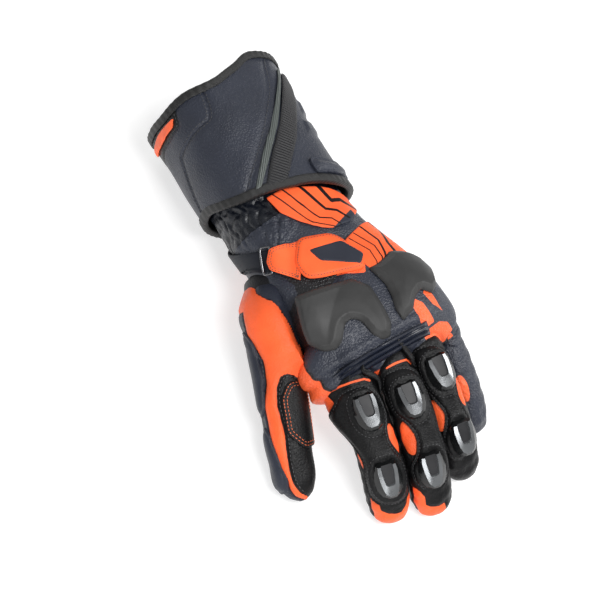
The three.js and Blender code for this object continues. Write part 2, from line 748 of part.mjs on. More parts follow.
function makeStretchPanel() {
  const [first, last] = [STRETCH_PANEL[0].across, STRETCH_PANEL[STRETCH_PANEL.length - 1].across];
  const rings = [];
  for (let i = 0; i <= STRETCH_STEPS; i += 1) {
    const across = THREE.MathUtils.lerp(first, last, i / STRETCH_STEPS);
    const from = smoothColumn(STRETCH_PANEL, 'across', 'from', across) * HAND_LENGTH;
    const to = smoothColumn(STRETCH_PANEL, 'across', 'to', across) * HAND_LENGTH;
    const place = (share, offset) => {
      const s = THREE.MathUtils.lerp(from, to, share);
      return hand.point(s, hand.angleAt(s, across * HAND_WIDTH), offset);
    };
    const ring = [place(1, -1), place(0, -1)];
    for (let k = 0; k <= 2 * RIB_COUNT; k += 1) {
      ring.push(place(k / (2 * RIB_COUNT), GAP + (k % 2 ? RIB_HEIGHT : RIB_HEIGHT / 2)));
    }
    rings.push(ring);
  }
  let panel = bodyFromRings(rings, false).subtract(grownHand);
  Object.values(grownStalls).forEach((stall) => {
    panel = panel.subtract(stall);
  });
  return panel;
}

// The inlay sits in a pocket of the wrist pad
const padTop = GAP + WRIST_PAD_THICKNESS;
function inlay(grow) {
  const rows = corners(WRIST_INLAY, HAND_LENGTH, HAND_WIDTH);
  const middle = new THREE.Vector2();
  rows.forEach((point) => middle.addScaledVector(point, 1 / rows.length));
  const grown = rows.map((point) => point.clone().add(point.clone().sub(middle).setLength(grow)));
  const height = padTop + GAP + (grow > 0 ? INLAY_THICKNESS : 0);
  return drape(hand, grown, () => height, { radius: PANEL_CORNER, low: padTop - INLAY_THICKNESS - grow });
}

function makeWristPad() {
  const top = mouldedTop(GUARD_EDGE, WRIST_PAD_THICKNESS, GUARD_BEVEL);
  const pad = onHand(WRIST_PAD, top, { radius: WRIST_PAD_CORNER });
  return pad.subtract(inlay(GAP));
}

// Strap: it comes from under the ring tab and goes round the thumb side of the wrist to the palm
const slant = THREE.MathUtils.degToRad(STRAP_SLANT);
const STRAP_DIRECTION = new THREE.Vector2(-Math.cos(slant), -Math.sin(slant));
const STRAP_ACROSS = new THREE.Vector2(Math.sin(slant), -Math.cos(slant));
const RING_PLACE = new THREE.Vector2(RING_ALONG * HAND_LENGTH, RING_ACROSS * HAND_WIDTH);

function strapPoint(along, across) {
  return RING_PLACE.clone().addScaledVector(STRAP_DIRECTION, along).addScaledVector(STRAP_ACROSS, across);
}

function strapSolid(grow) {
  const half = STRAP_WIDTH / 2 + grow;
  const [near, far] = [-RING_WIDTH - grow, STRAP_LENGTH + grow];
  const places = [[near, -half], [far, -half], [far, half], [near, half]];
  const outline = places.map(([along, across]) => strapPoint(along, across));
  const top = (s) => GAP + STRAP_THICKNESS + grow + overPleats(s);
  return drape(hand, outline, top, { radius: PANEL_CORNER, step: GUARD_STEP });
}

function makeStrap() {
  return strapSolid(0).subtract(grownHand).subtract(grownStalls.thumb).subtract(grownSleeve);
}

const ringOffset = GAP + STRAP_THICKNESS + GAP + RING_WIRE / 2;

function ringSolid(grow) {
  const rings = [];
  for (let i = 0; i < RING_TURNS; i += 1) {
    const angle = (2 * Math.PI * i) / RING_TURNS;
    const square = (value) => Math.sign(value) * Math.abs(value) ** RING_SQUARENESS;
    const along = square(Math.cos(angle)) * RING_WIDTH / 2;
    const across = square(Math.sin(angle)) * RING_HEIGHT / 2;
    const outward = new THREE.Vector2(along / RING_WIDTH, across / RING_HEIGHT).normalize();
    rings.push(Array.from({ length: WIRE_SIDES }, (_, k) => {
      const around = (2 * Math.PI * k) / WIRE_SIDES;
      const thick = RING_WIRE / 2 + grow;
      const reach = thick * Math.cos(around);
      const place = strapPoint(along + outward.x * reach, across + outward.y * reach);
      return hand.point(place.x, hand.angleAt(place.x, place.y), ringOffset + thick * Math.sin(around));
    }));
  }
  return bodyFromRings(rings, true);
}

// The tab is folded around the ring's bar, so it is thick there
function makeRingTab() {
  const thick = ringOffset + RING_WIRE / 2 + GAP + TAB_FOLD;
  const top = (s, distance) => {
    const away = -new THREE.Vector2(s, distance).sub(RING_PLACE).dot(STRAP_DIRECTION);
    const fade = THREE.MathUtils.smoothstep(away, RING_WIDTH / 2 + RING_WIRE, STRAP_WIDTH);
    return THREE.MathUtils.lerp(thick, GAP + PANEL_THICKNESS, fade);
  };
  const clear = [strapSolid(GAP), ringSolid(GAP)];
  return onHand(RING_TAB, top, { radius: TAB_CORNER, step: DETAIL_STEP, clear });
}

// Fingers' back pads and sliders
function backPad(name, grow) {
  const limb = fingers[name];
  const finger = FINGERS.find((row) => row.name === name);
  const outline = mirroredCorners(BACK_PAD, finger.length, finger.width / 2 + grow);
  const top = mouldedTop(BACK_PAD_THICKNESS / 2, BACK_PAD_THICKNESS, GUARD_BEVEL);
  const rise = (s, distance, inset) => top(s, distance, inset) + grow;
  return drape(limb, outline, rise, { radius: BACK_PAD_CORNER });
}

function makeBackPad(name) {
  let pad = backPad(name, 0).subtract(grownStalls[name]).subtract(grownHand);
  fingerNeighbours(name).forEach((other) => {
    pad = pad.subtract(grownStalls[other]);
  });
  return pad;
}

function fingerNeighbours(name) {
  const i = FINGERS.findIndex((finger) => finger.name === name);
  return [i - 1, i + 1].filter((k) => k >= 0 && k < FINGERS.length).map((k) => FINGERS[k].name);
}

function makeSlider(name, share) {
  const finger = FINGERS.find((row) => row.name === name);
  const middle = share * finger.length;
  const seat = GAP + BACK_PAD_THICKNESS;
  const top = (s, distance, inset) => {
    const rise = Math.min(THREE.MathUtils.lerp(SLIDER_RIM_SHARE, 1, inset / SLIDER_BEVEL), 1);
    const full = seat + SLIDER_CLEARANCE + SLIDER_HEIGHT * rise;
    const inRecess = Math.abs(distance) < SLIDER_WIDTH * RECESS_REACH
      && s > middle + SLIDER_LENGTH * RECESS_FROM && s < middle + SLIDER_LENGTH * RECESS_TO;
    return inRecess ? full - SLIDER_RECESS : full;
  };
  const outline = mirroredCorners(SLIDER, SLIDER_LENGTH, SLIDER_WIDTH / 2, middle);
  const options = { radius: SLIDER_CORNER, step: DETAIL_STEP, low: seat + SLIDER_CLEARANCE };
  return drape(fingers[name], outline, top, options);
}

function onLimb(limb, rows, length, width, top, grown, options) {
  return drape(limb, corners(rows, length, width), top, options).subtract(grown);
}

const thumbEnd = rowLengths(thumb)[THUMB_ROWS.length - 1];
function onThumb(rows, top, options) {
  return onLimb(thumb, rows, thumbEnd, THUMB_WIDTH, top, grownStalls.thumb, options).subtract(grownHand);
}

function onCuff(rows, top, radius = PANEL_CORNER) {
  const panel = onLimb(cuff, rows, CUFF_LENGTH, CUFF_WIDTH, top, cuffWall(GAP), { radius });
  return panel.subtract(bindingRoom(skirtEdge, -1)).subtract(bindingRoom(rimEdge, 1));
}

// A mesh with its own material from a finished solid
const group = new THREE.Group();
function add(name, solid, finish) {
  const mesh = solid.getMesh();
  const geometry = new THREE.BufferGeometry();
  geometry.setAttribute('position', new THREE.BufferAttribute(new Float32Array(mesh.vertProperties), 3));
  geometry.setIndex(new THREE.BufferAttribute(new Uint32Array(mesh.triVerts), 1));
  geometry.computeVertexNormals();
  const part = new THREE.Mesh(geometry, new THREE.MeshStandardMaterial({ metalness: 0, ...finish }));
  part.name = name;
  group.add(part);
}

const grownSleeve = sleeveWall(GAP, LEATHER);
const panelTop = flatTop(PANEL_THICKNESS);

const guardTop = mouldedTop(GUARD_EDGE, GUARD_THICKNESS, GUARD_BEVEL);
const makeGuard = (rows, radius) => onHand(rows, guardTop, { radius, step: GUARD_STEP });
const thumbPadTop = mouldedTop(PANEL_THICKNESS, THUMB_PAD_THICKNESS, GUARD_BEVEL);

add('hand_shell', makeHandShell(), NAVY);
FINGERS.forEach((finger) => add(`${finger.name}_stall`, makeStall(finger.name), BLACK));
add('thumb_stall', makeStall('thumb').subtract(ringSolid(GAP)), ORANGE);
add('wrist_sleeve', sleeveWall(0, LEATHER), NAVY);
add('gauntlet_cuff', cuffWall(0), NAVY);
add('rim_binding', makeBinding(rimEdge, 1), BLACK);
add('skirt_binding', makeBinding(skirtEdge, -1), BLACK);
add('reflective_strip', onCuff(REFLECTIVE_STRIP, panelTop), REFLECTIVE);
add('ribbed_band', onCuff(RIBBED_BAND, panelTop), BLACK);
add('cuff_side_pad', onCuff(CUFF_SIDE_PAD, flatTop(CUFF_PAD_THICKNESS), PAD_CORNER), NAVY);
add('cuff_tag', onCuff(CUFF_TAG, panelTop), ORANGE);
add('inner_knuckle_guard', makeGuard(INNER_GUARD, INNER_GUARD_CORNER), GREY);
add('outer_knuckle_guard', makeGuard(OUTER_GUARD, OUTER_GUARD_CORNER), GREY);
add('stretch_panel', makeStretchPanel(), NAVY);
add('wrist_pad', makeWristPad(), ORANGE);
add('wrist_pad_inlay', inlay(0), NAVY);
add('striped_panel', onHand(STRIPED_PANEL, stripedTop, { clear: [grownSleeve] }), ORANGE);
add('wrist_strap', makeStrap(), NAVY);
add('strap_ring', ringSolid(0), STEEL);
add('ring_tab', makeRingTab(), ORANGE);
FINGERS.filter((finger) => finger.name !== 'little').forEach((finger) => {
  add(`${finger.name}_back_pad`, makeBackPad(finger.name), BLACK);
  SLIDER_PLACES.forEach((share, i) => {
    add(`${finger.name}_${SLIDER_NAMES[i]}_slider`, makeSlider(finger.name, share), GLOSS);
  });
});
add('thumb_root_pad', onThumb(THUMB_ROOT_PAD, thumbPadTop, { radius: PAD_CORNER }), NAVY);
add('thumb_tip_pad', onThumb(THUMB_TIP_PAD, thumbPadTop, { radius: PAD_CORNER }), NAVY);
add('thumb_patch', onThumb(THUMB_PATCH, panelTop, { radius: STRIPED_CORNER }), BLACK);

// The origin is the middle of the box's floor
const box = new THREE.Box3().setFromObject(group);
const centre = box.getCenter(new THREE.Vector3());
group.position.set(-centre.x, -centre.y, 0);
group.updateMatrixWorld(true);

export default group;
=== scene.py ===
# %% [markdown]
# # A motorcycle gauntlet
# A long leather glove for the left hand lies palm down, on its cuff and its fingertips. The solids give the
# size and the place of every piece. Each one is built again here with its real surface: padded leather,
# moulded guards, glossy sliders, bound edges and rows of stitches.

# %% Start
import math

import bmesh
import bpy
import numpy as np
from mathutils import Matrix, Vector
from mathutils.kdtree import KDTree


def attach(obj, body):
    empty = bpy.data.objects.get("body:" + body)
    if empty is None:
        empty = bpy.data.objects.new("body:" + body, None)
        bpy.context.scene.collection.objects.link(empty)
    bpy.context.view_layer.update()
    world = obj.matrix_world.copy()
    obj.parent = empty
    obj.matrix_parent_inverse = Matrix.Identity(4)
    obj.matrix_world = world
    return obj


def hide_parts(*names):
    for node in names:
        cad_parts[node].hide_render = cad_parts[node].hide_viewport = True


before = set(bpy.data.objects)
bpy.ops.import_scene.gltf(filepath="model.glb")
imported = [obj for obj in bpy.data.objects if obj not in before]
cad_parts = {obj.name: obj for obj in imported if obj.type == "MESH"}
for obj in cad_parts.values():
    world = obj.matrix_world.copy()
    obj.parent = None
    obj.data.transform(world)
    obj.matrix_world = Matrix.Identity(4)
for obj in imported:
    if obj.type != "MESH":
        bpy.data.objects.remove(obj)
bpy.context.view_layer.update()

MM = 0.001

# %% [markdown]
# ## Camera and light
# The camera stands where the photographer stood: high up on the thumb side, turned about its view so that the
# cuff points to the upper left. A long lens keeps the glove free of strong perspective. It comes first, so
# that every later step can be judged from it.

# %% Camera
LOOK_AT = Vector((-7.86, 10.89, 45.0)) * MM
AZIMUTH, ELEVATION, ROLL = math.radians(-58), math.radians(60), math.radians(27)
DISTANCE = 1.1
FOCAL_LENGTH, SENSOR_WIDTH = 97.38, 36
PHOTO_WIDTH, SHIFT_IN_PIXELS = 610, 15
back = Vector((math.sin(AZIMUTH) * math.cos(ELEVATION), -math.cos(AZIMUTH) * math.cos(ELEVATION),
               math.sin(ELEVATION)))
level = Vector((math.cos(AZIMUTH), math.sin(AZIMUTH), 0))
upright = back.cross(level)
right = level * math.cos(ROLL) + upright * math.sin(ROLL)
up = upright * math.cos(ROLL) - level * math.sin(ROLL)
lens = bpy.data.cameras.new("photo_camera")
lens.lens = FOCAL_LENGTH
lens.sensor_width = SENSOR_WIDTH
lens.shift_x = SHIFT_IN_PIXELS / PHOTO_WIDTH
lens.shift_y = -SHIFT_IN_PIXELS / PHOTO_WIDTH
lens.clip_start = 0.05
camera = bpy.data.objects.new("photo_camera", lens)
bpy.context.scene.collection.objects.link(camera)
turn = Matrix((right, up, back)).transposed().to_4x4()
camera.matrix_world = Matrix.Translation(LOOK_AT + back * DISTANCE) @ turn
bpy.context.scene.camera = camera
print("camera at", camera.location)


# %% Light
def softbox(name, place, size, watts):
    """A square lamp that looks at the glove."""
    lamp = bpy.data.lights.new(name, "AREA")
    lamp.energy = watts
    lamp.size = size
    box = bpy.data.objects.new(name, lamp)
    bpy.context.scene.collection.objects.link(box)
    box.location = place
    aim = LOOK_AT - box.location
    box.rotation_euler = aim.to_track_quat("-Z", "Y").to_euler()
    print(name, watts, "watts")


softbox("key_light", (-0.05, -0.4, 1.2), 0.45, 9)
softbox("fill_light", (0.85, -0.4, 0.75), 0.5, 6)
softbox("rim_light", (0.45, 0.9, 0.55), 0.5, 1.2)
softbox("finger_light", (-0.6, -0.8, 0.6), 0.4, 3.5)
AMBIENT = 0.4
world = bpy.data.worlds.new("studio")
bpy.context.scene.world = world
world.use_nodes = True
background = world.node_tree.nodes["Background"]
background.inputs["Color"].default_value = (1, 1, 1, 1)
background.inputs["Strength"].default_value = AMBIENT
bpy.context.scene.view_settings.view_transform = "Standard"

# %% [markdown]
# ## The limbs under the leather
# Hand, cuff, wrist, fingers and thumb are soft tubes. Each one goes through a few sections, and every point
# on it has a name: the length along the tube and the distance around it. The solids use the same tables, so
# all that is laid out here in millimetres of leather lands where its solid is.

# %% Sizes in millimetres
LEATHER = 2.0
GAP = 0.3
SEAM_CLEARANCE = 0.5
BINDING_THICKNESS = 1.3
BINDING_WIDTH = 5.0
WEB_WIDTH = 27.0
FLOOR_SQUASH = 1.5
TIP_SQUASH = 1.0
HAND_LENGTH = 114.0
HAND_WIDTH = 107.0
HAND_THICKNESS = 60.0
HAND_REAR = 12.0
CUFF_LENGTH = 118.0
CUFF_WIDTH = 106.0
CUFF_HEIGHT = 91.0
WRIST_TO_SKIRT = 8.0
SLEEVE_LENGTH = 76.0
SLEEVE_STEPS = 7
WIDENING_START = 0.3
FINGER_CLEARANCE = 0.35
START_PITCH = 2.0
FAN_MIDDLE = 0.196
THUMB_LENGTH = 160.0
THUMB_WIDTH = 50.0
OVAL_POWER = 2.3
SHIFT = np.array((12.139, 40.889, 0.0))

# %% Sections as shares of those sizes
HAND_ROWS = [
    (-0.395, 0.093, 0.700, 0.393, 0.550, 0.550),
    (-0.158, 0.075, 0.700, 0.402, 0.533, 0.500),
    (0.000, 0.065, 0.717, 0.411, 0.517, 0.467),
    (0.193, 0.084, 0.750, 0.439, 0.500, 0.450),
    (0.439, 0.112, 0.800, 0.486, 0.483, 0.433),
    (0.684, 0.140, 0.833, 0.500, 0.467, 0.400),
    (0.842, 0.154, 0.833, 0.491, 0.400, 0.350),
    (0.947, 0.154, 0.800, 0.458, 0.300, 0.283),
    (1.000, 0.150, 0.767, 0.402, 0.167, 0.183),
]
CUFF_ROWS = [
    (0.00, 0.081, 0.462, 0.469),
    (0.36, 0.088, 0.466, 0.484),
    (0.61, 0.103, 0.474, 0.495),
    (0.82, 0.118, 0.479, 0.500),
    (1.00, 0.128, 0.480, 0.500),
]
FINGER_ROWS = [
    (0.00, 0.86, 0.94),
    (0.20, 0.94, 1.00),
    (0.42, 0.98, 1.00),
    (0.60, 1.00, 0.97),
    (0.78, 1.00, 0.97),
    (0.90, 0.93, 0.90),
    (0.965, 0.72, 0.70),
    (0.992, 0.40, 0.40),
    (1.00, 0.12, 0.12),
]
FINGERS = {
    "index": (112.0, 29.0, 27.0, 0.807, 0.833, -8.0, 16.0),
    "middle": (118.0, 29.0, 27.0, 0.851, 0.883, -7.0, 14.0),
    "ring": (112.0, 27.0, 27.0, 0.807, 0.850, -4.0, 8.0),
    "little": (98.0, 22.6, 24.6, 0.702, 0.717, -2.0, -14.0),
}
THUMB_ROWS = [
    (-0.025, 0.088, 0.262, 0.400, 0.400, -48, 4),
    (-0.169, 0.169, 0.237, 0.460, 0.500, -44, 6),
    (-0.275, 0.319, 0.212, 0.400, 0.410, -34, 10),
    (-0.350, 0.469, 0.175, 0.340, 0.340, -28, 13),
    (-0.409, 0.612, 0.141, 0.320, 0.320, -22, 14),
    (-0.459, 0.750, 0.100, 0.300, 0.300, -18, 13),
    (-0.491, 0.862, 0.0735, 0.250, 0.250, -14, 11),
    (-0.502, 0.916, 0.064, 0.160, 0.160, -12, 10),
    (-0.506, 0.941, 0.060, 0.040, 0.040, -12, 10),
]
CUFF_RIM = [(-150, 0.93), (-112, 0.945), (-90, 0.926), (-70, 0.903), (-40, 0.905), (-12, 0.882), (4, 0.914),
            (18, 0.955), (32, 0.952), (60, 0.935), (100, 0.90), (160, 0.91)]
CUFF_SKIRT = [(-140, 0.27), (-92, 0.297), (-62, 0.229), (-44, 0.186), (-16, 0.144), (4, 0.102), (40, 0.03),
              (80, 0.01), (130, 0.06), (180, 0.16)]


# %% Smooth curves
def smooth(xs, ys, x):
    """A curve through the rows of ys at the uneven places xs."""
    xs = np.asarray(xs, float)
    ys = np.asarray(ys, float).reshape(len(xs), -1)
    x = np.atleast_1d(np.asarray(x, float))
    slopes = np.empty_like(ys)
    slopes[1:-1] = (ys[2:] - ys[:-2]) / (xs[2:] - xs[:-2])[:, None]
    slopes[0] = (ys[1] - ys[0]) / (xs[1] - xs[0])
    slopes[-1] = (ys[-1] - ys[-2]) / (xs[-1] - xs[-2])
    i = np.clip(np.searchsorted(xs, x) - 1, 0, len(xs) - 2)
    step = (xs[i + 1] - xs[i])[:, None]
    t = np.clip((x - xs[i])[:, None] / step, 0, 1)
    t2, t3 = t * t, t * t * t
    return ((2 * t3 - 3 * t2 + 1) * ys[i] + (t3 - 2 * t2 + t) * slopes[i] * step
            + (3 * t2 - 2 * t3) * ys[i + 1] + (t3 - t2) * slopes[i + 1] * step)


def around(rows, angle):
    """A share that changes smoothly round a tube."""
    angles = [a + turn for turn in (-360, 0, 360) for a, share in rows]
    return smooth(angles, [share for turn in (-360, 0, 360) for a, share in rows], angle)[:, 0]


def directions(yaw, pitch, roll):
    """Forward, sideways and upward for angles in degrees."""
    y, p, r = (np.radians(value) for value in (yaw, pitch, roll))
    zero = np.zeros_like(y)
    forward = np.stack((np.sin(y) * np.cos(p), -np.cos(y) * np.cos(p), -np.sin(p)), -1)
    level = np.stack((np.cos(y), np.sin(y), zero), -1)
    above = np.cross(level, forward)
    above = np.where(above[:, 2:] < 0, -above, above)
    cos_r, sin_r = np.cos(r)[:, None], np.sin(r)[:, None]
    return forward, level * cos_r + above * sin_r, above * cos_r - level * sin_r


# %% A soft tube
TURN_STEP = 3.0


class Limb:
    """A soft tube. Its points are found by length along it, angle around it and height over it."""

    def __init__(self, rows, lift=0.0):
        self.rows = np.array(rows, float)
        self.lift = lift
        self.length = self.rows[-1, 0]
        self.places = np.arange(self.rows[0, 0], self.length + 1.0, 1.0)
        self.turns = np.arange(-180.0, 181.0, TURN_STEP)
        s, turn = np.meshgrid(self.places, self.turns, indexing="ij")
        points = self.points(s.ravel(), turn.ravel()).reshape(*s.shape, 3)
        steps = np.linalg.norm(np.diff(points, axis=1), axis=-1)
        arcs = np.concatenate((np.zeros((len(self.places), 1)), np.cumsum(steps, axis=1)), axis=1)
        self.arcs = arcs - arcs[:, len(self.turns) // 2][:, None]

    def at(self, s):
        return smooth(self.rows[:, 0], self.rows[:, 1:], s)

    def points(self, s, angle, height=0.0):
        x, y, z, half, up, down, yaw, pitch, roll = self.at(s).T
        side, above = directions(yaw, pitch, roll)[1:]
        t = np.radians(angle)
        oval = lambda value: np.sign(value) * np.abs(value) ** (2 / OVAL_POWER)
        tall = np.where(np.cos(t) >= 0, up, down)
        points = np.stack((x, y, z), -1)
        points = points + side * (np.maximum(half + height, GAP) * oval(np.sin(t)))[:, None]
        points = points + above * (np.maximum(tall + height, GAP) * oval(np.cos(t)))[:, None]
        points[:, 2] = np.maximum(points[:, 2], self.lift - height)
        return points + SHIFT

    def row_arcs(self, s):
        k = np.clip((np.asarray(s, float) - self.places[0]), 0, len(self.places) - 1.001)
        i = k.astype(int)
        share = (k - i)[:, None]
        return self.arcs[i] * (1 - share) + self.arcs[i + 1] * share

    def angle_at(self, s, arc):
        rows = self.row_arcs(s)
        arc = np.asarray(arc, float)
        i = np.clip((rows < arc[:, None]).sum(1) - 1, 0, len(self.turns) - 2)
        n = np.arange(len(i))
        low, high = rows[n, i], rows[n, i + 1]
        return self.turns[i] + TURN_STEP * (arc - low) / (high - low)

    def arc_at(self, s, angle):
        rows = self.row_arcs(s)
        k = np.clip((np.asarray(angle, float) + 180) / TURN_STEP, 0, len(self.turns) - 1.001)
        i = k.astype(int)
        n = np.arange(len(i))
        return rows[n, i] * (1 - (k - i)) + rows[n, i + 1] * (k - i)

    def on(self, s, arc, height=0.0):
        s, arc = np.asarray(s, float), np.asarray(arc, float)
        return self.points(s, self.angle_at(s, arc), height)


# %% Hand, cuff and wrist
hand = Limb([
    (along * HAND_LENGTH, side * HAND_WIDTH, -along * HAND_LENGTH, tall * HAND_THICKNESS, half * HAND_WIDTH,
     up * HAND_THICKNESS, down * HAND_THICKNESS, 0, 0, 0)
    for along, side, tall, half, up, down in HAND_ROWS
])
cuff = Limb([
    (along * CUFF_LENGTH, side * CUFF_WIDTH, WRIST_TO_SKIRT + along * CUFF_LENGTH,
     tall * CUFF_HEIGHT - FLOOR_SQUASH + BINDING_THICKNESS, half * CUFF_WIDTH, tall * CUFF_HEIGHT,
     tall * CUFF_HEIGHT, 0, 0, 0)
    for along, side, half, tall in CUFF_ROWS
], BINDING_THICKNESS)


def sleeve_limb():
    """The wrist goes from the hand's section to one that fits inside the cuff."""
    rows = []
    for i in range(SLEEVE_STEPS + 1):
        y = HAND_REAR + GAP + SLEEVE_LENGTH * i / SLEEVE_STEPS
        wrist, sewn = hand.at(-y)[0], cuff.at(y - WRIST_TO_SKIRT)[0].copy()
        sewn[3:6] -= LEATHER + SEAM_CLEARANCE
        t = np.clip((i / SLEEVE_STEPS - WIDENING_START) / (1 - 1 / SLEEVE_STEPS - WIDENING_START), 0, 1)
        row = wrist + (sewn - wrist) * t * t * (3 - 2 * t)
        rows.append((y, row[0], y, row[2], row[3], row[4], row[5], 0, 0, 0))
    return Limb(rows, BINDING_THICKNESS + LEATHER + SEAM_CLEARANCE)


# %% Fingers that rest on the floor
MOST_CURL, HALVINGS = 140.0, 30


def finger_limb(name, side):
    """A finger that curls just so far that its tip is on the floor."""
    length, width, thick, root, tall, yaw, roll = FINGERS[name]
    steps = 60

    def sections(end):
        place = np.array((side, -root * HAND_LENGTH, tall * HAND_THICKNESS))
        places = [place]
        for i in range(steps):
            pitch = START_PITCH + (end - START_PITCH) * (i + 0.5) / steps
            forward = directions(np.array([yaw]), np.array([pitch]), np.array([0.0]))[0][0]
            places.append(places[-1] + forward * length / steps)
        return [
            (along * length, *places[int(along * steps + 0.5)], wide * width / 2, deep * thick / 2,
             deep * thick / 2, yaw, START_PITCH + (end - START_PITCH) * along, roll)
            for along, wide, deep in FINGER_ROWS
        ]

    def lowest(rows):
        return min(row[3] - row[6] * math.cos(math.radians(row[8])) for row in rows)

    flat, curled = 0.0, MOST_CURL
    for halving in range(HALVINGS):
        middle = (flat + curled) / 2
        if lowest(sections(middle)) > -TIP_SQUASH:
            flat = middle
        else:
            curled = middle
    return Limb(sections(curled))


# %% All the limbs
sleeve = sleeve_limb()
names = list(FINGERS)
spacing = [FINGER_ROWS[1][1] * (FINGERS[a][1] + FINGERS[b][1]) / 2 + FINGER_CLEARANCE
           for a, b in zip(names, names[1:])]
side = FAN_MIDDLE * HAND_WIDTH - spacing[0] - spacing[1] / 2
fingers = {}
for name, step in zip(names, spacing + [0]):
    fingers[name] = finger_limb(name, side)
    side += step

thumb_places = np.array([(row[0], -row[1], row[2]) for row in THUMB_ROWS]) * THUMB_LENGTH
thumb_lengths = np.concatenate(([0], np.cumsum(np.linalg.norm(np.diff(thumb_places, axis=0), axis=1))))
thumb = Limb([
    (s, *place, row[3] * THUMB_WIDTH, row[4] * THUMB_WIDTH, row[4] * THUMB_WIDTH, row[5], row[6], 90)
    for s, place, row in zip(thumb_lengths, thumb_places, THUMB_ROWS)
])

limbs = {"hand": hand, "cuff": cuff, "sleeve": sleeve, "thumb": thumb, **fingers}
print("limb lengths:", {name: round(float(limb.length)) for name, limb in limbs.items()})

# %% [markdown]
# ## Measuring on the leather
# Seams, stripes and colour borders are drawn as lines on the unrolled leather. The signed distance to such a
# line says how deep a groove is or which colour shows, and it stays crisp at any size of mesh.

# %% Distances on the leather
def to_line(line, s, arc, closed=False):
    """Distance from each place to a drawn line."""
    line = np.array(line, float)
    ends = np.roll(line, -1, axis=0) if closed else line[1:]
    place = np.stack((s, arc), -1)
    best = np.full(len(place), 1e9)
    for a, b in zip(line, ends):
        ab = b - a
        t = np.clip((place - a) @ ab / max(ab @ ab, 1e-9), 0, 1)
        best = np.minimum(best, np.linalg.norm(place - a - t[:, None] * ab, axis=1))
    return best


def nearest_on(outline, place):
    """The nearest point of an outline to each place."""
    outline = np.array(outline, float)
    best, found = np.full(len(place), 1e9), place.copy()
    for a, b in zip(outline, np.roll(outline, -1, axis=0)):
        ab = b - a
        t = np.clip((place - a) @ ab / max(ab @ ab, 1e-9), 0, 1)
        near = a + t[:, None] * ab
        far = np.linalg.norm(place - near, axis=1)
        found[far < best] = near[far < best]
        best = np.minimum(best, far)
    return found


def depth_in(outline, s, arc):
    """Distance to the edge of an outline, more than zero inside it."""
    outline = np.array(outline, float)
    inside = np.zeros(len(s), bool)
    for (s0, a0), (s1, a1) in zip(outline, np.roll(outline, -1, axis=0)):
        crosses = (a0 > arc) != (a1 > arc)
        at = s0 + (arc - a0) / (a1 - a0 if a1 != a0 else 1e-9) * (s1 - s0)
        inside ^= crosses & (s < at)
    return np.where(inside, 1, -1) * to_line(outline, s, arc, closed=True)


def oval_depth(s, arc, middle, reach):
    """The same for an oval."""
    share = np.hypot((s - middle[0]) / reach[0], (arc - middle[1]) / reach[1])
    return (1 - share) * min(reach)


def ramp(value, low, high):
    """Nothing up to the low end, one from the high end on, and soft between."""
    t = np.clip((value - low) / (high - low), 0, 1)
    return t * t * (3 - 2 * t)


def bell(distance, width):
    """One on a line, and nothing a few widths away from it: the section of a groove or a ridge."""
    return np.exp(-((distance / width) ** 2))


# %% Outlines and creases
CORNER_POINTS = 5


def rounded(corners, radius):
    """An outline with its corners rounded."""
    corners = np.array(corners, float)
    points = []
    for before, corner, after in zip(np.roll(corners, 1, axis=0), corners, np.roll(corners, -1, axis=0)):
        ends = []
        for other in (before, after):
            length = np.linalg.norm(other - corner)
            ends.append(corner + (other - corner) * min(radius, length * 0.45) / length)
        for t in np.linspace(0, 1, CORNER_POINTS):
            points.append(ends[0] * (1 - t) ** 2 + corner * 2 * t * (1 - t) + ends[1] * t * t)
    return np.array(points)


def flowing(line, step):
    """A smooth line through a few points."""
    line = np.array(line, float)
    lengths = np.concatenate(([0], np.cumsum(np.linalg.norm(np.diff(line, axis=0), axis=1))))
    return smooth(lengths, line, np.arange(0, lengths[-1] + step / 2, step))


def wrinkles(s, arc, waves):
    """Soft creases: each wave has a direction in degrees, a length and a depth."""
    total = np.zeros(len(s))
    for k, (direction, length, depth) in enumerate(waves):
        t = math.radians(direction)
        along = s * math.cos(t) + arc * math.sin(t)
        across = arc * math.cos(t) - s * math.sin(t)
        bend = 2.2 * np.sin(across / (1.7 * length) + 1.3 * k)
        bend += 1.1 * np.sin(across / (0.8 * length) + 2.1 * k)
        total += depth * np.sin(2 * math.pi * along / length + bend + k)
    return total


# %% [markdown]
# ## From a flat sheet to a piece
# A grid is added flat, as a sheet of leather is, and then every point of it is laid in its place. A tube is
# such a sheet rolled up: its rows run over the outer face, round the edge and back along the inner face, so
# the wall has a real thickness. A panel is a sheet cut to an outline, laid on its limb and thickened.

# %% Helpers for meshes
MERGE = 1e-6


def coordinates(piece):
    """The places of a piece's points, in metres."""
    co = np.zeros(len(piece.data.vertices) * 3)
    piece.data.vertices.foreach_get("co", co)
    return co.reshape(-1, 3)


def place_points(piece, points):
    piece.data.vertices.foreach_set("co", (np.asarray(points) * MM).ravel())
    piece.data.update()


def mark(piece, **values):
    """Keeps numbers on the points, which the materials read."""
    for name, value in values.items():
        layer = piece.data.attributes.get(name) or piece.data.attributes.new(name, "FLOAT", "POINT")
        layer.data.foreach_set("value", np.asarray(value, np.float32) * np.ones(len(piece.data.vertices)))


def only(piece):
    bpy.ops.object.select_all(action="DESELECT")
    piece.select_set(True)
    bpy.context.view_layer.objects.active = piece


def finish_mesh(piece, angle=35, recalculate=True):
    """Merges doubled points, turns the faces outward and smooths all but the sharp edges."""
    only(piece)
    bpy.ops.object.mode_set(mode="EDIT")
    bpy.ops.mesh.select_all(action="SELECT")
    bpy.ops.mesh.remove_doubles(threshold=MERGE)
    if recalculate:
        bpy.ops.mesh.normals_make_consistent(inside=False)
    bpy.ops.object.mode_set(mode="OBJECT")
    bpy.ops.object.shade_smooth_by_angle(angle=math.radians(angle))


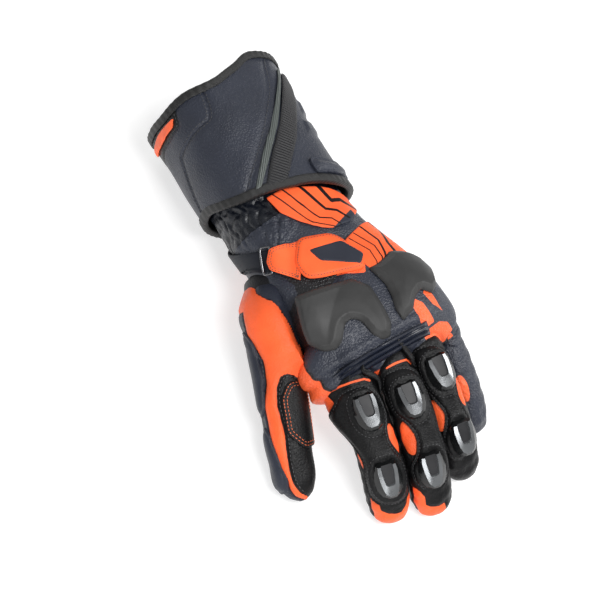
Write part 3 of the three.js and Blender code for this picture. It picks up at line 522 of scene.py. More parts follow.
def apply_modifier(piece, kind, **settings):
    only(piece)
    modifier = piece.modifiers.new(kind.lower(), kind)
    for name, value in settings.items():
        setattr(modifier, name, value)
    bpy.ops.object.modifier_apply(modifier=modifier.name)


def flat_grid(name, columns, rows):
    """A flat sheet of one by one, and for each of its points its column and its row."""
    bpy.ops.object.select_all(action="DESELECT")
    bpy.ops.mesh.primitive_grid_add(x_subdivisions=columns, y_subdivisions=rows, size=1)
    piece = bpy.context.object
    piece.name = piece.data.name = name
    co = coordinates(piece)
    column = np.rint((co[:, 0] + 0.5) * columns).astype(int)
    row = np.rint((co[:, 1] + 0.5) * rows).astype(int)
    return piece, column, row


def dress(piece, material, slot, *nodes):
    """Gives a piece its finish, or its finishes, and hides the solids that it stands for."""
    for finish in material if isinstance(material, tuple) else (material,):
        piece.data.materials.append(finish)
    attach(piece, "root")
    if nodes:
        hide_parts(*nodes)
    print(piece.name, len(piece.data.polygons), "faces")
    return piece


# %% Fillets between limbs
SKIN_STEP, SKIN_TURN = 2.0, 4.0


def normals_of(grid):
    """Outward directions of a grid of points."""
    along, round_ = np.gradient(grid, axis=0), np.gradient(grid, axis=1)
    normals = np.cross(along, round_)
    out = grid - grid.mean(axis=1, keepdims=True)
    normals *= np.where((normals * out).sum(-1).mean() < 0, -1, 1)
    return normals / np.maximum(np.linalg.norm(normals, axis=-1, keepdims=True), 1e-9)


class Skin:
    """Points on the bare outer face of a limb, to find how near another piece comes."""

    def __init__(self, limb):
        lengths = np.arange(limb.rows[0, 0], limb.length + 0.01, SKIN_STEP)
        s, turn = np.meshgrid(lengths, np.arange(-180, 180, SKIN_TURN), indexing="ij")
        grid = limb.points(s.ravel(), turn.ravel()).reshape(*s.shape, 3)
        self.points = grid.reshape(-1, 3)
        self.normals = normals_of(grid).reshape(-1, 3)
        self.tree = KDTree(len(self.points))
        for i, point in enumerate(self.points):
            self.tree.insert(point, i)
        self.tree.balance()

    def over(self, points):
        """Height of each point over this skin, and the direction away from it."""
        found = np.array([self.tree.find(point)[1] for point in points])
        normal = self.normals[found]
        offset = points - self.points[found]
        height = (offset * normal).sum(-1)
        slide = np.linalg.norm(offset - normal * height[:, None], axis=-1)
        return np.where(slide > 6, np.maximum(height, slide), height), normal


skins = {name: Skin(limb) for name, limb in limbs.items() if name != "cuff"}


def web_share(points):
    """The fillet of the thumb: none at the wrist, full in the middle and less near the fingers."""
    s = SHIFT[1] - points[:, 1]
    return ramp(s, 12, 42) * (1 - 0.75 * ramp(s, 62, 88))


def fillet(points, normals, other, width, inside=0.8):
    """How far leather that runs from one limb on to another lifts off the crease between them."""
    height, away = skins[other].over(points)
    share = np.clip(0.5 + 0.5 * height / width, 0, 1)
    lift = width * share * (1 - share) * (inside + (1 - inside) * ramp(height, -4, 0))
    if width == WEB_WIDTH:
        lift *= web_share(points)
    toward = share[:, None] * normals + (1 - share)[:, None] * away
    size = np.maximum(np.linalg.norm(toward, axis=-1, keepdims=True), 0.4)
    return toward / size**2 * lift[:, None]


# %% Tubes of leather
LINING_ROWS = 8


def tube(name, limb, stations, columns, wall, relief, joins=(), closed=False, inside=0.8):
    """A leather tube. Stations are the lengths from its closed tip, or its first edge, to its last edge.

    Each may be a number or one number for each column. Relief gives the height of the outer face.
    """
    turn = np.linspace(-180, 180, columns + 1)
    outer = [np.broadcast_to(np.asarray(s, float), turn.shape) for s in stations]
    picks = np.linspace(len(outer) - 1, 0, LINING_ROWS).astype(int)
    inner = [outer[i] for i in picks]
    s = np.array(outer + inner + ([] if closed else [outer[0]]))
    angle = np.broadcast_to(turn, s.shape)
    arc = limb.arc_at(s.ravel(), angle.ravel())
    lining = np.zeros(s.shape)
    lining[len(outer):len(outer) + len(inner)] = 1
    height = np.where(lining.ravel() > 0, -wall, relief(s.ravel(), arc))
    points = limb.points(s.ravel(), angle.ravel(), height)
    bare = limb.points(s.ravel(), angle.ravel()).reshape(*s.shape, 3)
    normals = normals_of(bare).reshape(-1, 3)
    for other, width in joins:
        lift = fillet(bare.reshape(-1, 3), normals, other, width, inside)
        lift[lining.ravel() > 0] = 0
        points += lift
    points = points.reshape(*s.shape, 3)
    if closed:
        tip, inner_tip = points[0].mean(axis=0), points[-1].mean(axis=0)
        points = np.concatenate((np.broadcast_to(tip, points[:1].shape), points,
                                 np.broadcast_to(inner_tip, points[:1].shape)))
        arc = arc.reshape(s.shape)
        s, arc, lining = (np.concatenate((a[:1], a, a[-1:])) for a in (s, arc, lining))
    rows = len(s) - 1
    piece, column, row = flat_grid(name, columns, rows)
    place_points(piece, points[row, column])
    mark(piece, along=s.reshape(rows + 1, -1)[row, column], around=arc.reshape(rows + 1, -1)[row, column],
         lining=lining[row, column])
    finish_mesh(piece)
    return piece


def marks(piece):
    """The length and the distance around that each point of a piece keeps."""
    found = []
    for name in ("along", "around"):
        values = np.zeros(len(piece.data.vertices), np.float32)
        piece.data.attributes[name].data.foreach_get("value", values)
        found.append(values.astype(float))
    return found


# %% Panels on a limb
def panel(name, limb, outline, top, step, wall=2.0, bevel=0.35, clear=(), joins=(), angle=35):
    """A panel cut to an outline, laid on a limb. Top gives its height from the place and the depth inside."""
    outline = np.array(outline, float)
    low, high = outline.min(axis=0) - step, outline.max(axis=0) + step
    count = np.ceil((high - low) / step).astype(int)
    piece, column, row = flat_grid(name, int(count[0]), int(count[1]))
    place = low + np.stack((column, row), -1) * (high - low) / count
    depth = depth_in(outline, place[:, 0], place[:, 1])
    work = bmesh.new()
    work.from_mesh(piece.data)
    work.verts.ensure_lookup_table()
    bmesh.ops.delete(work, geom=[v for v in work.verts if depth[v.index] < -0.45 * step], context="VERTS")
    loose = [v for v in work.verts if not v.link_faces]
    bmesh.ops.delete(work, geom=loose, context="VERTS")
    edge = np.array([v.is_boundary for v in work.verts])
    work.to_mesh(piece.data)
    work.free()
    co = coordinates(piece)
    place = low + (co[:, :2] + 0.5) * (high - low)
    place[edge] = nearest_on(outline, place[edge])
    depth = np.where(edge, 0.0, np.maximum(depth_in(outline, place[:, 0], place[:, 1]), 0.02))
    height = top(place[:, 0], place[:, 1], depth)
    points = limb.on(place[:, 0], place[:, 1], height)
    bare = limb.on(place[:, 0], place[:, 1])
    normals = limb.on(place[:, 0], place[:, 1], 1.0) - bare
    for other, width in joins:
        points += fillet(bare, normals, other, width)
    for other, gap in clear:
        over, away = skins[other].over(points)
        points += away * np.maximum(gap - over, 0)[:, None]
    place_points(piece, points)
    mark(piece, along=place[:, 0], around=place[:, 1], depth=depth)
    finish_mesh(piece, recalculate=False)
    if not faces_look_out(piece, limb, place):
        only(piece)
        bpy.ops.object.mode_set(mode="EDIT")
        bpy.ops.mesh.select_all(action="SELECT")
        bpy.ops.mesh.flip_normals()
        bpy.ops.object.mode_set(mode="OBJECT")
    apply_modifier(piece, "SOLIDIFY", thickness=wall * MM, offset=-1.0)
    if bevel:
        apply_modifier(piece, "BEVEL", width=bevel * MM, segments=2, limit_method="ANGLE",
                       angle_limit=math.radians(50))
    only(piece)
    bpy.ops.object.shade_smooth_by_angle(angle=math.radians(angle))
    return piece


def faces_look_out(piece, limb, place):
    """True if the faces of a panel look away from its limb."""
    face = piece.data.polygons[len(piece.data.polygons) // 2]
    s = place[face.vertices[0]][0]
    axis = (limb.at(s)[0][:3] + SHIFT) * MM
    return face.normal.dot(face.center - Vector(axis)) > 0


def shares(rows, length, width):
    """An outline in millimetres, from shares of a length and a width."""
    return [(along * length, across * width) for along, across in rows]


# %% [markdown]
# ## Finishes
# Leather is a colour, a satin sheen and a grain. The grain of the thick leather is a field of small pebbles
# about a millimetre wide; the finger leather is finer. Two or three colours of leather meet on one limb, so a
# finish reads the signed distances kept on the points and changes colour where they pass zero. The fabrics
# and the moulded parts get their own patterns in the same way. The ribs of the fabrics are painted darker in
# their valleys and lighter on their crests: painted shade and painted highlight.

# %% Nodes
def new_material(name, colour, roughness, **sockets):
    material = bpy.data.materials.new(name)
    material.use_nodes = True
    shader = material.node_tree.nodes["Principled BSDF"]
    shader.inputs["Base Color"].default_value = (*colour, 1)
    shader.inputs["Roughness"].default_value = roughness
    for socket, value in sockets.items():
        shader.inputs[socket.replace("_", " ")].default_value = value
    return material, material.node_tree, shader


def node(tree, kind, inputs=(), **settings):
    made = tree.nodes.new("ShaderNode" + kind)
    for name, value in settings.items():
        setattr(made, name, value)
    for socket, value in dict(inputs).items():
        if isinstance(value, bpy.types.NodeSocket):
            tree.links.new(value, made.inputs[socket])
        else:
            made.inputs[socket].default_value = value
    return made


def scaled(tree, vector, share):
    return node(tree, "VectorMath", {0: vector, 3: share}, operation="SCALE").outputs[0]


def times(tree, value, share):
    return node(tree, "Math", {0: value, 1: share}, operation="MULTIPLY").outputs[0]


def millimetres(tree):
    """Object coordinates in millimetres."""
    return scaled(tree, node(tree, "TexCoord").outputs["Object"], 1000.0)


def value_of(tree, attribute):
    return node(tree, "Attribute", attribute_name=attribute).outputs["Fac"]


def spread(tree, value, low, high, out_low=0.0, out_high=1.0):
    inputs = {0: value, 1: low, 2: high, 3: out_low, 4: out_high}
    return node(tree, "MapRange", inputs).outputs[0]


def blend_colours(tree, factor, a, b):
    mixed = node(tree, "Mix", {0: factor}, data_type="RGBA")
    for socket, colour in ((6, a), (7, b)):
        if isinstance(colour, bpy.types.NodeSocket):
            tree.links.new(colour, mixed.inputs[socket])
        else:
            mixed.inputs[socket].default_value = (*colour, 1)
    return mixed.outputs[2]


def plain(tree, colour):
    """A colour that can be joined to other nodes."""
    return blend_colours(tree, 0.0, colour, colour)


def bumps(tree, shader, layers):
    """Bump from several heights: each layer is a height, its strength and its distance in millimetres."""
    normal = None
    for height, strength, distance in layers:
        inputs = {"Height": height, "Strength": strength, "Distance": distance * MM}
        if normal is not None:
            inputs["Normal"] = normal
        normal = node(tree, "Bump", inputs).outputs[0]
    tree.links.new(normal, shader.inputs["Normal"])


# %% Leathers
NAVY = (0.025, 0.029, 0.043)
BLACK = (0.0045, 0.0045, 0.005)
ORANGE = (0.95, 0.130, 0.035)
LINING = (0.012, 0.012, 0.014)


def leather(name, colour, roughness, pebble=1.4, grain=0.8, inks=(), crease=0.0, *, sheen):
    """Pebbled leather. Inks are the colours of other leathers and the distance that each one reads."""
    material, tree, shader = new_material(name, colour, roughness, Specular_IOR_Level=sheen)
    place = millimetres(tree)
    tone = node(tree, "TexNoise", {"Vector": place, "Scale": 0.045, "Detail": 3.0}).outputs[0]
    fade = spread(tree, tone, 0.3, 0.75, 0.86, 1.16)
    shade = plain(tree, colour)
    for attribute, ink in inks:
        edge = spread(tree, value_of(tree, attribute), 0.0, 0.25)
        shade = blend_colours(tree, edge, shade, ink)
    speck = node(tree, "TexNoise", {"Vector": place, "Scale": 2.2, "Detail": 2.0}).outputs[0]
    worn = spread(tree, speck, 0.35, 0.8, 0.92, 1.12)
    tinted = scaled(tree, scaled(tree, shade, fade), worn)
    tree.links.new(tinted, shader.inputs["Base Color"])
    bent = node(tree, "TexNoise", {"Vector": place, "Scale": 0.5, "Detail": 1.0}).outputs[1]
    wobbled = node(tree, "VectorMath", {0: place, 1: bent}, operation="ADD").outputs[0]
    cells = node(tree, "TexVoronoi", {"Vector": wobbled, "Scale": 1 / pebble}, feature="F1").outputs[0]
    pebbles = spread(tree, cells, 0.0, 0.75, 1.0, 0.0)
    fine = node(tree, "TexNoise", {"Vector": place, "Scale": 3.5 / pebble, "Detail": 3.0}).outputs[0]
    layers = [(pebbles, grain, 0.28 * pebble), (fine, 0.35 * grain, 0.12)]
    if crease:
        folds = {"Vector": place, "Scale": 0.12, "Detail": 4.0, "Distortion": 1.2}
        layers.append((node(tree, "TexNoise", folds).outputs[0], crease, 3.0))
    bumps(tree, shader, layers)
    shine = spread(tree, speck, 0.3, 0.75, roughness - 0.07, roughness + 0.1)
    tree.links.new(shine, shader.inputs["Roughness"])
    return material


inks = (("orange_ink", ORANGE), ("navy_ink", NAVY), ("black_ink", BLACK), ("lining", LINING))
navy_leather = leather("navy_leather", NAVY, 0.40, inks=inks, sheen=0.45)
thumb_leather = leather("thumb_navy_leather", NAVY, 0.46, 1.0, 0.5, sheen=0.3)
cuff_leather = leather("cuff_leather", NAVY, 0.42, 1.3, 0.75, inks, sheen=0.42)
black_leather = leather("black_leather", BLACK, 0.40, 1.1, 0.6, inks, sheen=0.22)
orange_leather = leather("orange_leather", ORANGE, 0.5, 0.7, 0.16, inks, sheen=0.2)
gathered_leather = leather("gathered_leather", (0.005, 0.0065, 0.011), 0.30, 0.8, 0.4, inks, crease=0.3,
                           sheen=0.45)
strap_leather = leather("strap_leather", (0.011, 0.013, 0.019), 0.48, 0.6, 0.2, inks, sheen=0.2)
inlay_leather = leather("inlay_leather", (0.024, 0.027, 0.038), 0.55, 0.5, 0.15, sheen=0.2)
glossy_leather = leather("rib_leather", (0.010, 0.013, 0.024), 0.26, 0.9, 0.12, sheen=0.55)
print("leathers:", len(bpy.data.materials))


# %% Fabrics, moulded parts and metal
def ribbed(name, colour, roughness, pitch, slant, depth, **sockets):
    """Ribs that run across a band, from the lengths kept on its points. Their colour is painted darker in the
    valleys and lighter on the crests: painted shade and painted highlight.
    """
    material, tree, shader = new_material(name, colour, roughness, **sockets)
    t = math.radians(slant)
    along = times(tree, value_of(tree, "along"), math.cos(t))
    across = times(tree, value_of(tree, "around"), math.sin(t))
    way = node(tree, "Math", {0: along, 1: across}, operation="ADD").outputs[0]
    wave = node(tree, "Math", {0: times(tree, way, 2 * math.pi / pitch)}, operation="SINE").outputs[0]
    weave = node(tree, "TexNoise", {"Vector": millimetres(tree), "Scale": 4.0, "Detail": 2.0}).outputs[0]
    # painted shade and highlight: the base colour follows the rib wave, darker in the valleys and lighter on
    # the crests
    painted_rib_shade = spread(tree, wave, -1.0, 1.0, 0.65, 1.25)
    tree.links.new(scaled(tree, plain(tree, colour), painted_rib_shade), shader.inputs["Base Color"])
    bumps(tree, shader, [(wave, 0.7, depth), (weave, 0.3, 0.1)])
    return material


def moulding(name, colour, roughness, grit, **sockets):
    """A moulded part with a fine skin, a little dust in its tone and softly worn roughness."""
    material, tree, shader = new_material(name, colour, roughness, **sockets)
    place = millimetres(tree)
    cloud = node(tree, "TexNoise", {"Vector": place, "Scale": 0.08, "Detail": 4.0}).outputs[0]
    fade = spread(tree, cloud, 0.3, 0.75, 0.85, 1.15)
    tree.links.new(scaled(tree, plain(tree, colour), fade), shader.inputs["Base Color"])
    fine = node(tree, "TexNoise", {"Vector": place, "Scale": 6.0, "Detail": 2.0}).outputs[0]
    bumps(tree, shader, [(fine, grit, 0.08)])
    shine = spread(tree, cloud, 0.3, 0.75, roughness - 0.05, roughness + 0.07)
    tree.links.new(shine, shader.inputs["Roughness"])
    return material


binding_tape = ribbed("binding_tape", (0.010, 0.010, 0.010), 0.5, 0.9, 20, 0.12)
ribbed_fabric = ribbed("ribbed_fabric", (0.012, 0.012, 0.014), 0.55, 1.9, 48, 0.35)
reflective_fabric = ribbed("reflective_fabric", (0.085, 0.098, 0.092), 0.42, 1.3, -52, 0.3)
guard_rubber = moulding("guard_rubber", (0.030, 0.030, 0.030), 0.5, 0.25, Specular_IOR_Level=0.36)
slider_plastic = moulding("slider_plastic", (0.006, 0.0065, 0.007), 0.24, 0.03, Specular_IOR_Level=0.4)
slider_facets = moulding("slider_facets", (0.26, 0.27, 0.28), 0.27, 0.004, Metallic=0.9)
slider_floor = moulding("slider_floor", (0.022, 0.022, 0.024), 0.45, 0.1, Specular_IOR_Level=0.3)
tag_rubber = moulding("tag_rubber", ORANGE, 0.5, 0.2)
ring_steel = moulding("ring_steel", (0.22, 0.22, 0.23), 0.25, 0.05, Metallic=1.0)
black_thread = moulding("black_thread", (0.055, 0.055, 0.058), 0.6, 0.6)
orange_thread = moulding("orange_thread", (0.80, 0.16, 0.05), 0.6, 0.6)
print("finishes:", len(bpy.data.materials))

# %% [markdown]
# ## The hand
# The back of the hand is navy leather. An orange panel runs from the thumb up the side of the hand, and the
# palm is black. Where two leathers meet there is a seam, so the outer face has a shallow groove there. The
# leather that runs on to the thumb and the fingers bends over in a soft fillet.

# %% Borders on the hand
WEB_EDGE = [(-30, -88), (20, -86), (50, -84), (65, -80), (73, -71), (80, -66), (88, -63.5), (96, -62),
            (103, -59), (110, -54), (120, -48)]
WEB_PANEL = WEB_EDGE + [(120, -118), (60, -124), (20, -104), (-30, -100)]
PALM_EDGE = [(-30, 96), (20, 92), (60, 100), (90, 92), (120, 88), (120, 400), (-30, 400)]
STRIPE_FIELD = [(26, 9), (19, 32), (16, 50), (33, 53), (47, 56), (60, 57), (56, 46), (48, 36), (47, 28),
                (53, 18), (54, 10), (45, 8)]
NAVY_QUAD = [(6, 33), (18, 33), (26, 9), (15, 8)]
WEDGES = [
    [(80, 17), (88, 25), (102, 26), (104, 15), (95, 15)],
    [(80, 36), (94, 36), (100, 38), (92, 31), (82, 30)],
    [(105, 16), (103, 30), (105, 38), (110, 41), (118, 46), (118, 16)],
]
UNDER_PAD = [(6, -33), (9, -25), (11, -16), (17, 5), (26, 9), (47, 9), (53, 5), (40, -22), (34, -29),
             (27, -36), (20, -41), (13, -40)]
LOWER_STRIPES = [
    ([(26, 13), (40, 19), (49, 17), (54, 14)], 1.1),
    ([(24, 19), (38, 25), (48, 23), (53, 19)], 1.3),
    ([(21, 28), (35, 32), (45, 28), (52, 24)], 2.0),
    ([(17, 42), (26, 46), (39, 38), (50, 36)], 3.0),
]


def stripe_depth(stripes, s, arc):
    """How deep each place lies in the nearest stripe."""
    found = np.full(len(s), -50.0)
    for line, width in stripes:
        found = np.maximum(found, width / 2 - to_line(line, s, arc))
    return found


# %% Relief of the hand
WEB_FLAP = 17.0
PANEL_LIFT = 0.5
RIDGE_HEIGHT, RIDGE_WIDTH, RIDGE_PLACE = 1.4, 2.6, 95.0
WRIST_SEAM = [(44, -30), (24, -22), (12, -18), (9, -19), (-1, -24), (-6, -29)]
GATHER_EDGE = [(-76, -30), (-66, -12), (-52, -5), (-37, 3), (-27, 7), (-21, 7), (-13, 5), (-7, -2), (-1, -10),
               (4, -30)]


def crinkles(s, arc):
    """Small shiny folds of the gathered leather: round backs with sharp valleys between them."""
    bend = wrinkles(s, arc, [(76, 17, 0.9), (20, 13, 0.6), (110, 9, 0.3)])
    long_folds = np.abs(np.sin(arc / 3.6 - s / 9.0 + bend))
    short_folds = np.abs(np.sin(arc / 2.3 + s / 3.4 + 1.3 * bend))
    return 1.5 * long_folds**0.6 + 0.6 * short_folds**0.7 - 1.1


def gather_edge(arc):
    """Where the gathered leather ends on the back of the hand."""
    return np.interp(arc, *zip(*GATHER_EDGE))


def hand_relief(s, arc):
    seam = np.minimum(to_line(WEB_EDGE, s, arc), np.abs(depth_in(PALM_EDGE, s, arc)))
    height = -0.9 * bell(seam, 1.1)
    height += PANEL_LIFT * ramp(depth_in(WEB_PANEL, s, arc), 0, 4)
    ridge = bell(s - RIDGE_PLACE - 0.02 * arc, RIDGE_WIDTH) * ramp(arc, -78, -68) * (1 - ramp(arc, 14, 22))
    height += RIDGE_HEIGHT * ridge
    web = ramp(s, 60, 92) * ramp(-arc, 46, 73) * (1 - ramp(-arc, 88, 106)) * (1 - 0.55 * ramp(s, 102, 114))
    height += WEB_FLAP * web
    height += 0.22 * wrinkles(s, arc, [(20, 23, 1), (75, 17, 0.6), (-50, 11, 0.3)])
    crinkled = ramp(gather_edge(arc) - s, 0, 3)
    height -= bell(to_line(WRIST_SEAM, -s, arc), 0.9)
    return height + crinkled * (0.8 * crinkles(-s, arc) + 0.25)


# %% Leather of the hand
HAND_JOINS = (("thumb", WEB_WIDTH), ("index", 5.0), ("middle", 5.0), ("ring", 5.0), ("little", 6.0))
hand_rows = np.concatenate(([113.99, 113.6, 112.8], np.linspace(111.6, -HAND_REAR, 104)))
hand_skin = tube("hand_leather", hand, hand_rows, 248, LEATHER, hand_relief, joins=HAND_JOINS, closed=True)
s, arc = marks(hand_skin)
orange = np.maximum(depth_in(WEB_PANEL, s, arc), depth_in(UNDER_PAD, s, arc))
orange = np.maximum(orange, np.minimum(depth_in(STRIPE_FIELD, s, arc), -depth_in(NAVY_QUAD, s, arc)))
for wedge in WEDGES:
    orange = np.maximum(orange, depth_in(wedge, s, arc))
seam_line = 0.7 - np.minimum(to_line(WEB_EDGE, s, arc), 9)
black = np.maximum(depth_in(PALM_EDGE, s, arc), seam_line)
orange = np.maximum(orange, 0.9 - to_line([(112, -36), (113, -3)], s, arc))
mark(hand_skin, orange_ink=orange, black_ink=black)
dress(hand_skin, navy_leather, "navy_leather", "hand_shell")

# %% [markdown]
# ## Thumb
# The thumb carries the orange panel on its back, navy leather on its outer side and black leather inside,
# with a stitched grip patch. Its root widens into the hand.

# %% Borders on the thumb
THUMB_LOW = [(36, -30), (43, -8), (45, 9), (58, 9), (66, 13), (75, 16), (90, 14), (103, 9), (120, 8),
             (137, 9), (152, 10), (164, 4), (175, 3)]
THUMB_HIGH = [(102, 62), (93, 42), (88, 38), (85, 34), (84, 30), (86, 25), (93, 21), (104, 19), (123, 20),
              (140, 17), (159, 12), (175, 4)]
HAND_EDGE = [(-20, 4), (23, 12), (30, 17), (35, 21), (38, 28), (39, 33), (42, 37), (46, 39), (53, 42),
             (61, 45), (66, 50), (74, 74)]
THUMB_BACK = [(-20, -30)] + THUMB_LOW + THUMB_HIGH[::-1] + [(102, 74)] + HAND_EDGE[::-1]
THUMB_SIDE = [(-20, -30)] + THUMB_LOW + [(175, -22), (110, -26), (50, -34), (-20, -36)]
HAND_SIDE = HAND_EDGE + [(74, 110), (-20, 110)]


def thumb_seam(s, arc):
    """Distance to the nearest seam of the thumb."""
    seam = np.minimum(to_line(THUMB_LOW, s, arc), to_line(THUMB_HIGH, s, arc))
    return np.minimum(seam, to_line(HAND_EDGE, s, arc))


# %% Relief of the thumb
THUMB_DRAW, THUMB_ROOT_DRAW = 3.2, 7.0


def thumb_slimness(s, arc):
    """The outer side of the thumb is drawn in between the hand and the tip."""
    side = ramp(-arc, -14, 6) * (1 - ramp(-arc, 50, 70))
    return -THUMB_DRAW * side * ramp(s, 40, 62) * (1 - ramp(s, 136, 156))


def thumb_relief(s, arc):
    height = -0.8 * bell(thumb_seam(s, arc), 1.0)
    height += PANEL_LIFT * ramp(depth_in(THUMB_BACK, s, arc), 0, 4)
    height += thumb_slimness(s, arc) - THUMB_ROOT_DRAW * (1 - ramp(s, 12, 50))
    return height + 0.18 * wrinkles(s, arc, [(10, 19, 1), (80, 13, 0.6)])


# %% Leather of the thumb
thumb_end = thumb.length
thumb_tip = thumb_end - np.array([0.02, 0.3, 0.8, 1.5])
thumb_rows = np.concatenate((thumb_tip, np.linspace(thumb_end - 2.4, 0, 128)))
thumb_skin = tube("thumb_leather", thumb, thumb_rows, 128, LEATHER, thumb_relief,
                  joins=(("hand", WEB_WIDTH),), closed=True, inside=0.0)
s, arc = marks(thumb_skin)
navy = np.maximum(depth_in(THUMB_SIDE, s, arc), depth_in(HAND_SIDE, s, arc))
mark(thumb_skin, orange_ink=depth_in(THUMB_BACK, s, arc), navy_ink=navy, black_ink=0.6 - thumb_seam(s, arc))
dress(thumb_skin, black_leather, "orange_leather", "thumb_stall")

# %% [markdown]
# ## Fingers
# Each finger is black leather, and the little one is navy. Orange stretch inserts show at the waist and at
# the tip, and two seams run along the sides. The index finger is full where the web of the thumb ends on it.

# %% Borders on the fingers
INSERTS = {
    "index": [((57, 12.5), (10, 5)), ((61, -15), (9, 4))],
    "middle": [((60, -9), (11, 6))],
    "ring": [((61, -12.5), (10.5, 6)), ((52, 12.5), (10, 5))],
    "little": [((62, -9), (9, 4))],
}
TIPS = {
    "index": [(88, -15), (91, -14), (93, -9), (98, -8), (101, -3), (102, 1), (102, 6), (99, 9), (94, 14),
              (88, 16), (90, 22), (104, 20), (116, 8), (116, -8), (108, -14), (100, -17)],
    "middle": [(92, -16), (93, -13), (95, -10), (99, -7.5), (105, -7.5), (107, -4), (108, 2), (107, 6),
               (114, 7), (122, 0), (122, -10), (112, -15), (104, -18)],
}
ROOT_PIPING = {
    "index": [(15, -26), (15.5, -10), (17, 5), (19, 9)],
    "middle": [(15, -6), (14.5, 1), (15, 9), (18, 12)],
}
WEB_END = [(-2, -20), (13, -21), (20, -19.5), (25, -18.5), (28, -21), (30, -28), (30, -40), (24, -52),
           (-2, -62)]

# %% Relief of the fingers
INDEX_FULLNESS = 9.0


def side_fullness(name, s, arc):
    """The index finger is full on its thumb side, where the web ends."""
    side = ramp(-arc, 12, 27) * (1 - ramp(-arc, 52, 66))
    return INDEX_FULLNESS * side * (1 - ramp(s, 24, 62)) * (name == "index")


def finger_relief(name):
    """The relief of one finger: side seams, the edges of its inserts, and creases."""
    half = FINGERS[name][1] / 2
    side = [(8, 1.42 * half), (0.5 * FINGERS[name][0], 1.5 * half), (FINGERS[name][0], 1.0 * half)]

    def relief(s, arc):
        line = np.minimum(to_line(side, s, arc), to_line([(a, -b) for a, b in side], s, arc))
        height = -0.7 * bell(line, 0.9)
        for middle, reach in INSERTS[name]:
            height -= 0.6 * bell(oval_depth(s, arc, middle, reach), 0.8)
        if name in TIPS:
            height -= 0.5 * bell(depth_in(TIPS[name], s, arc), 0.8)
        fold = bell(s - 0.9 * FINGERS[name][0], 9)
        height += side_fullness(name, s, arc)
        return height + (0.15 + 0.1 * fold) * wrinkles(s, arc, [(5, 9, 1), (70, 7, 0.5), (-35, 14, 0.5)])

    return relief


# %% Leather of the fingers
for name, finger in fingers.items():
    end = finger.length
    rows = np.concatenate((end - np.array([0.02, 0.25, 0.7, 1.3]), np.linspace(end - 2.0, 0, 104)))
    stall = tube(name + "_leather", finger, rows, 96, LEATHER, finger_relief(name), joins=(("hand", 5.0),),
                 closed=True)
    s, arc = marks(stall)
    orange = np.full(len(s), -20.0)
    for middle, reach in INSERTS[name]:
        orange = np.maximum(orange, oval_depth(s, arc, middle, reach))
    if name in TIPS:
        orange = np.maximum(orange, depth_in(TIPS[name], s, arc))
    if name in ROOT_PIPING:
        orange = np.maximum(orange, 0.8 - to_line(ROOT_PIPING[name], s, arc))
    if name == "index":
        orange = np.maximum(orange, depth_in(WEB_END, s, arc))
    mark(stall, orange_ink=orange)
    dress(stall, navy_leather if name == "little" else black_leather, "black_leather", name + "_stall")

# %% [markdown]
# ## Gathered wrist
# The wrist is drawn in by elastic, so its thin leather crinkles into small shiny folds. They are real relief
# on the mesh, made of a few waves that bend into each other and fade where the wrist goes up into the cuff.

# %% Gathered wrist
def gathers(s, arc):
    fade = np.clip(np.sin(math.pi * np.clip((s - HAND_REAR + 20) / 80, 0, 1)), 0, 1)
    return 0.25 + fade * crinkles(s, arc) - bell(to_line(WRIST_SEAM, s, arc), 0.9)


sleeve_rows = np.linspace(HAND_REAR + GAP, HAND_REAR + GAP + SLEEVE_LENGTH, 84)
wrist = tube("gathered_wrist", sleeve, sleeve_rows, 300, LEATHER, gathers)
dress(wrist, gathered_leather, "gathered_leather", "wrist_sleeve")

# %% [markdown]
# ## Cuff
# The cuff is a wide tube of pebbled navy leather with a slanted skirt over the wrist. A padded panel on the
# thumb side is set off by a seam, and a black corner carries the bare orange tag.

# %% Seams of the cuff
PAD_SEAM = [(112, -22), (99, -24), (88, -26), (82, -29), (81, -41), (79, -51), (76, -64), (65, -69),
            (46, -76), (24, -84)]
CORNER_SEAM = [(116, -44), (101, -47), (92, -50), (91, -62), (92, -76), (88, -98), (86, -130), (120, -130),
               (120, -44)]
BAND_SEAM = [(106, 36), (100, 32), (84, 25), (68, 12), (52, -2), (26, -29), (14, -42)]
BAND_SEAM_2 = [(s, arc - 3.2) for s, arc in BAND_SEAM]
FAR_SEAM = [(80, 44), (65, 31), (52, 25), (27, 2), (17, -7), (8, -16)]
PADDED_FIELD = PAD_SEAM + [(-10, -90), (-10, -30), (14, -46)] + BAND_SEAM_2[::-1] + [(116, -10)]
QUILT = [
    [(44, 33), (56, 36), (58, 62), (44, 62)],
    [(60, 42), (74, 48), (76, 66), (62, 66)],
]


def cuff_relief(s, arc):
    seams = np.minimum(to_line(PAD_SEAM, s, arc), np.abs(depth_in(CORNER_SEAM, s, arc)))
    for line in (BAND_SEAM, BAND_SEAM_2, FAR_SEAM):
        seams = np.minimum(seams, to_line(line, s, arc))
    height = -0.85 * bell(seams, 1.0)
    height += 0.7 * ramp(depth_in(PADDED_FIELD, s, arc), 0, 6)
    for patch in QUILT:
        height += 1.3 * ramp(depth_in(patch, s, arc), 0, 3.5)
    dents = wrinkles(s, arc, [(15, 46, 1), (70, 33, 0.7), (-40, 21, 0.35)])
    return height + 0.3 * dents - 0.3


# %% Leather of the cuff
turn = np.linspace(-180, 180, 281)
rim, skirt = around(CUFF_RIM, turn) * CUFF_LENGTH, around(CUFF_SKIRT, turn) * CUFF_LENGTH
cuff_rows = [skirt + (rim - skirt) * share for share in np.linspace(0, 1, 92)]
cuff_skin = tube("cuff_leather", cuff, cuff_rows, 280, LEATHER, cuff_relief)
s, arc = marks(cuff_skin)
mark(cuff_skin, black_ink=depth_in(CORNER_SEAM, s, arc))
dress(cuff_skin, cuff_leather, "cuff_leather", "gauntlet_cuff")

# %% [markdown]
# ## Bound edges and bands on the cuff
# A woven tape is folded over both edges of the cuff. Its section is a U with a soft round nose. The slanted
# bands are ribbed fabrics set between seams, and the orange tag is a plain moulded label.

